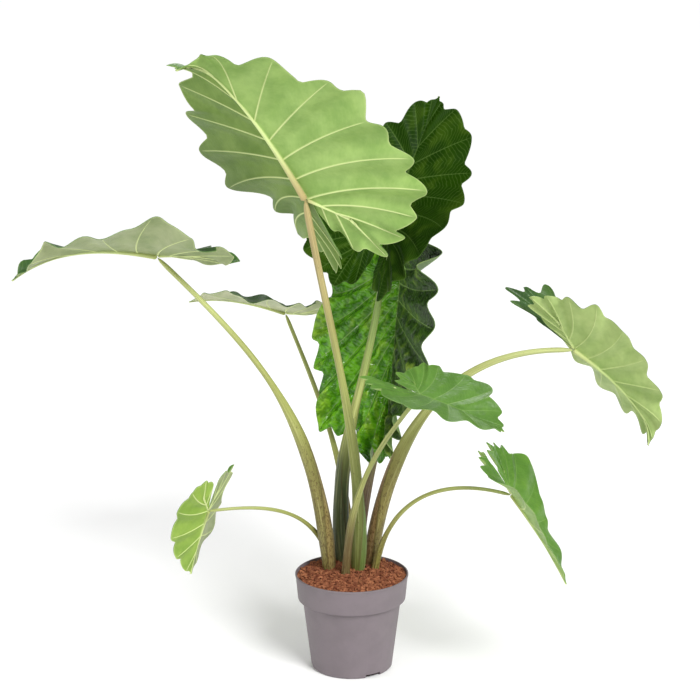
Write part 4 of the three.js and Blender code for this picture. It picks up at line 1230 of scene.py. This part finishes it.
def stalk_material(leaf, sizes):
    """Skin that goes from one colour at the foot to another at the top, with speckles and streaks."""
    name = f"petiole_{leaf.stem}"
    if name in bpy.data.materials:
        return bpy.data.materials[name]
    material, tree, shader = material_start(name)
    place = tree.place()
    low, high, inner = (tuple(getattr(sizes, leaf.stem + part)) for part in ("", "_top", "_inner"))
    along = tree.mark("along")
    colour = tree.mix(tree.span(along, *FOOT_SPAN), low, tuple(sizes.middle))
    colour = tree.mix(tree.span(along, *TOP_SPAN), colour, high)
    colour = tree.mix(tree.times(tree.mark("inner"), INNER_STRENGTH), colour, inner)
    around, length = tree.own_map()
    lengthwise = tree.add("CombineXYZ", tree.times(around, STREAKS[0]), tree.times(length, STREAKS[1]), 0.0)
    streaks = tree.noise(lengthwise, 1.0, 3.0, 0.6)
    colour = tree.mix(tree.span(streaks, **DARK_STREAKS), colour, darker(low, DARK_STREAK_SHADE))
    colour = tree.mix(tree.span(streaks, **PALE_STREAKS), colour, tint(STREAK_TINT))
    speckles = use_group(tree, "Speckles", Vector=place, Scale=330.0,
                         Amount=tree.span(along, *SPECKLE_SPAN, SPECKLED[leaf.stem], 0.0))
    colour = tree.mix(tree.times(speckles["Mask"], SPECKLE_STRENGTH), colour, tuple(sizes.speckle))
    colour = tree.mix(tree.times(tree.mark("lip"), LIP_STRENGTH), colour, tuple(sizes.edge))
    tree.feed(shader.inputs["Base Color"], colour)
    grain, rough = fine_grain(tree, place, 400.0, 0.4, 0.58)
    tree.feed(shader.inputs["Roughness"], rough)
    shader.inputs["Specular IOR Level"].default_value = 0.35
    bump(tree, shader, tree.math("ADD", grain, streaks), strength=0.25, distance=0.0006)
    return material


def soil_material(sizes):
    """Coir chips that each have their own tone."""
    material, tree, shader = material_start("coir_chips")
    place = tree.place()
    light, dark = tuple(sizes.light), tuple(sizes.dark)
    drift = use_group(tree, "Colour Drift", Vector=place, Colour_A=dark, Colour_B=light, Scale=CHIP_PATCHES)
    colour = tree.mix(tree.mark("chip"), dark, light)
    colour = tree.mix(CHIP_PATCH_SHARE, colour, drift["Colour"])
    # painted shadow: nearly black low down, where it shows through the drain notches
    height = tree.add("SeparateXYZ", place, out=2)
    colour = tree.mix(tree.span(height, *NOTCH_SHADOW_SPAN), darker(dark, NOTCH_SHADOW_SHADE), colour)
    tree.feed(shader.inputs["Base Color"], colour)
    grain, rough = fine_grain(tree, place, 1500.0, 0.8, 0.95)
    tree.feed(shader.inputs["Roughness"], rough)
    shader.inputs["Specular IOR Level"].default_value = 0.2
    bump(tree, shader, grain, strength=0.7, distance=0.0008)
    return material


def pot_material(sizes):
    """Matte plastic with a very fine grain."""
    material, tree, shader = material_start("pot_plastic_matte")
    place = tree.place()
    body = tuple(sizes.colour)
    drift = use_group(tree, "Colour Drift", Vector=place, Colour_A=darker(body, POT_SHADES[0]),
                      Colour_B=darker(body, POT_SHADES[1]), Scale=POT_PATCHES)
    tree.feed(shader.inputs["Base Color"], drift["Colour"])
    grain, rough = fine_grain(tree, place, 2200.0, 0.5, 0.66)
    tree.feed(shader.inputs["Roughness"], rough)
    bump(tree, shader, grain, strength=0.12, distance=0.0003)
    return material


# ---------------------------------------------------------------- stage
def make_stage(sizes):
    """The pale floor, the white room, the soft lights and the camera."""
    bpy.ops.object.select_all(action="DESELECT")
    bpy.ops.mesh.primitive_plane_add(size=sizes.floor_size, location=(0, 0, -FLOOR_DROP))
    ground = bpy.context.object
    ground.name = ground.data.name = "floor"
    bpy.ops.object.transform_apply(location=True, rotation=True, scale=True)
    material, tree, shader = material_start("pale_floor")
    tree.feed(shader.inputs["Base Color"], tuple(sizes.floor_colour))
    shader.inputs["Roughness"].default_value = 0.9
    shader.inputs["Specular IOR Level"].default_value = 0.0
    ground.data.materials.append(material)

    # the camera sees a white room, while the plant gets softer light and dim reflections from it
    world = bpy.data.worlds.new("studio")
    world.use_nodes = True
    tree = Tree(world.node_tree)
    path = tree.nodes.new("ShaderNodeLightPath").outputs
    dimmed = tree.times(path["Is Glossy Ray"], sizes.sky * SKY_DIMMED)
    strength = tree.math("SUBTRACT", sizes.sky, dimmed)
    strength = tree.math("MAXIMUM", strength, tree.times(path["Is Camera Ray"], WHITE_ROOM))
    tree.feed(tree.nodes["Background"].inputs["Color"], (1, 1, 1))
    tree.feed(tree.nodes["Background"].inputs["Strength"], strength)
    bpy.context.scene.world = world

    bpy.ops.object.light_add(type="SUN", location=SUN_PLACE)
    sun = bpy.context.object
    sun.name = "key"
    sun.data.energy = sizes.key_power
    sun.data.angle = sizes.key_angle
    sun.rotation_euler = (-sun.location).to_track_quat("-Z", "Y").to_euler()
    for name, place, size, power in LIGHTS:
        bpy.ops.object.light_add(type="AREA", location=place)
        light = bpy.context.object
        light.name = name
        light.data.shape = "DISK"
        light.data.size = size
        light.data.energy = power
        light.rotation_euler = (LIGHT_AIM - light.location).to_track_quat("-Z", "Y").to_euler()

    bpy.ops.object.camera_add(location=sizes.camera_place, rotation=(pi / 2 - sizes.camera_pitch, 0, 0))
    camera = bpy.context.object
    camera.name = "camera"
    camera.data.lens = sizes.lens
    camera.data.sensor_width = SENSOR
    camera.data.clip_end = CLIP_END
    bpy.context.scene.camera = camera
    bpy.context.scene.view_settings.view_transform = "Standard"


# ---------------------------------------------------------------- operators and panel
class ALOCASIA_OT_pot(bpy.types.Operator):
    """Spin the nursery pot from its profile and cut its drain notches"""
    bl_idname = "alocasia.pot"
    bl_label = "Make Pot"

    def execute(self, context):
        make_pot(context.scene.alocasia_pot)
        return {"FINISHED"}


class ALOCASIA_OT_soil(bpy.types.Operator):
    """Fill the pot with coir and strew loose chips on it"""
    bl_idname = "alocasia.soil"
    bl_label = "Make Soil"

    def execute(self, context):
        make_soil(context.scene.alocasia_soil, context.scene.alocasia_pot)
        return {"FINISHED"}


class ALOCASIA_OT_stalks(bpy.types.Operator):
    """Grow the nine stalks, with the channel and lips of their sheaths"""
    bl_idname = "alocasia.stalks"
    bl_label = "Make Stalks"

    def execute(self, context):
        for leaf in LEAVES:
            make_stalk(leaf, context.scene.alocasia_stalk)
        return {"FINISHED"}


class ALOCASIA_OT_blades(bpy.types.Operator):
    """Spread the nine blades, with their ribs, veins, teeth and waves"""
    bl_idname = "alocasia.blades"
    bl_label = "Make Blades"

    def execute(self, context):
        for leaf in LEAVES:
            make_blade(leaf, context.scene.alocasia_blade, context.scene.alocasia_stalk)
        return {"FINISHED"}


class ALOCASIA_OT_stage(bpy.types.Operator):
    """Set the pale floor, the soft lights and the camera"""
    bl_idname = "alocasia.stage"
    bl_label = "Make Stage"

    def execute(self, context):
        make_stage(context.scene.alocasia_stage)
        return {"FINISHED"}


class ALOCASIA_PT_panel(bpy.types.Panel):
    """Lists the settings and the steps that make the plant"""
    bl_idname = "ALOCASIA_PT_panel"
    bl_label = "Potted Alocasia"
    bl_space_type = "VIEW_3D"
    bl_region_type = "UI"
    bl_category = "Alocasia"

    def draw(self, context):
        for key in SETTINGS:
            box = self.layout.box()
            box.label(text=key.title())
            settings = getattr(context.scene, f"alocasia_{key}")
            for name in settings.__annotations__:
                box.prop(settings, name)
        for operator in OPERATORS:
            self.layout.operator(operator.bl_idname)


SETTINGS = {
    "pot": AlocasiaPotSettings, "soil": AlocasiaSoilSettings, "stalk": AlocasiaStalkSettings,
    "blade": AlocasiaBladeSettings, "stage": AlocasiaStageSettings,
}
OPERATORS = (ALOCASIA_OT_pot, ALOCASIA_OT_soil, ALOCASIA_OT_stalks, ALOCASIA_OT_blades, ALOCASIA_OT_stage)
CLASSES = (*SETTINGS.values(), *OPERATORS, ALOCASIA_PT_panel)


def register():
    for cls in CLASSES:
        bpy.utils.register_class(cls)
    for key, cls in SETTINGS.items():
        setattr(bpy.types.Scene, f"alocasia_{key}", bpy.props.PointerProperty(type=cls))


def unregister():
    for key in SETTINGS:
        delattr(bpy.types.Scene, f"alocasia_{key}")
    for cls in reversed(CLASSES):
        bpy.utils.unregister_class(cls)


def main():
    register()
    bpy.ops.alocasia.pot()
    bpy.ops.alocasia.soil()
    bpy.ops.alocasia.stalks()
    bpy.ops.alocasia.blades()
    bpy.ops.alocasia.stage()


if __name__ == "__main__":
    main()
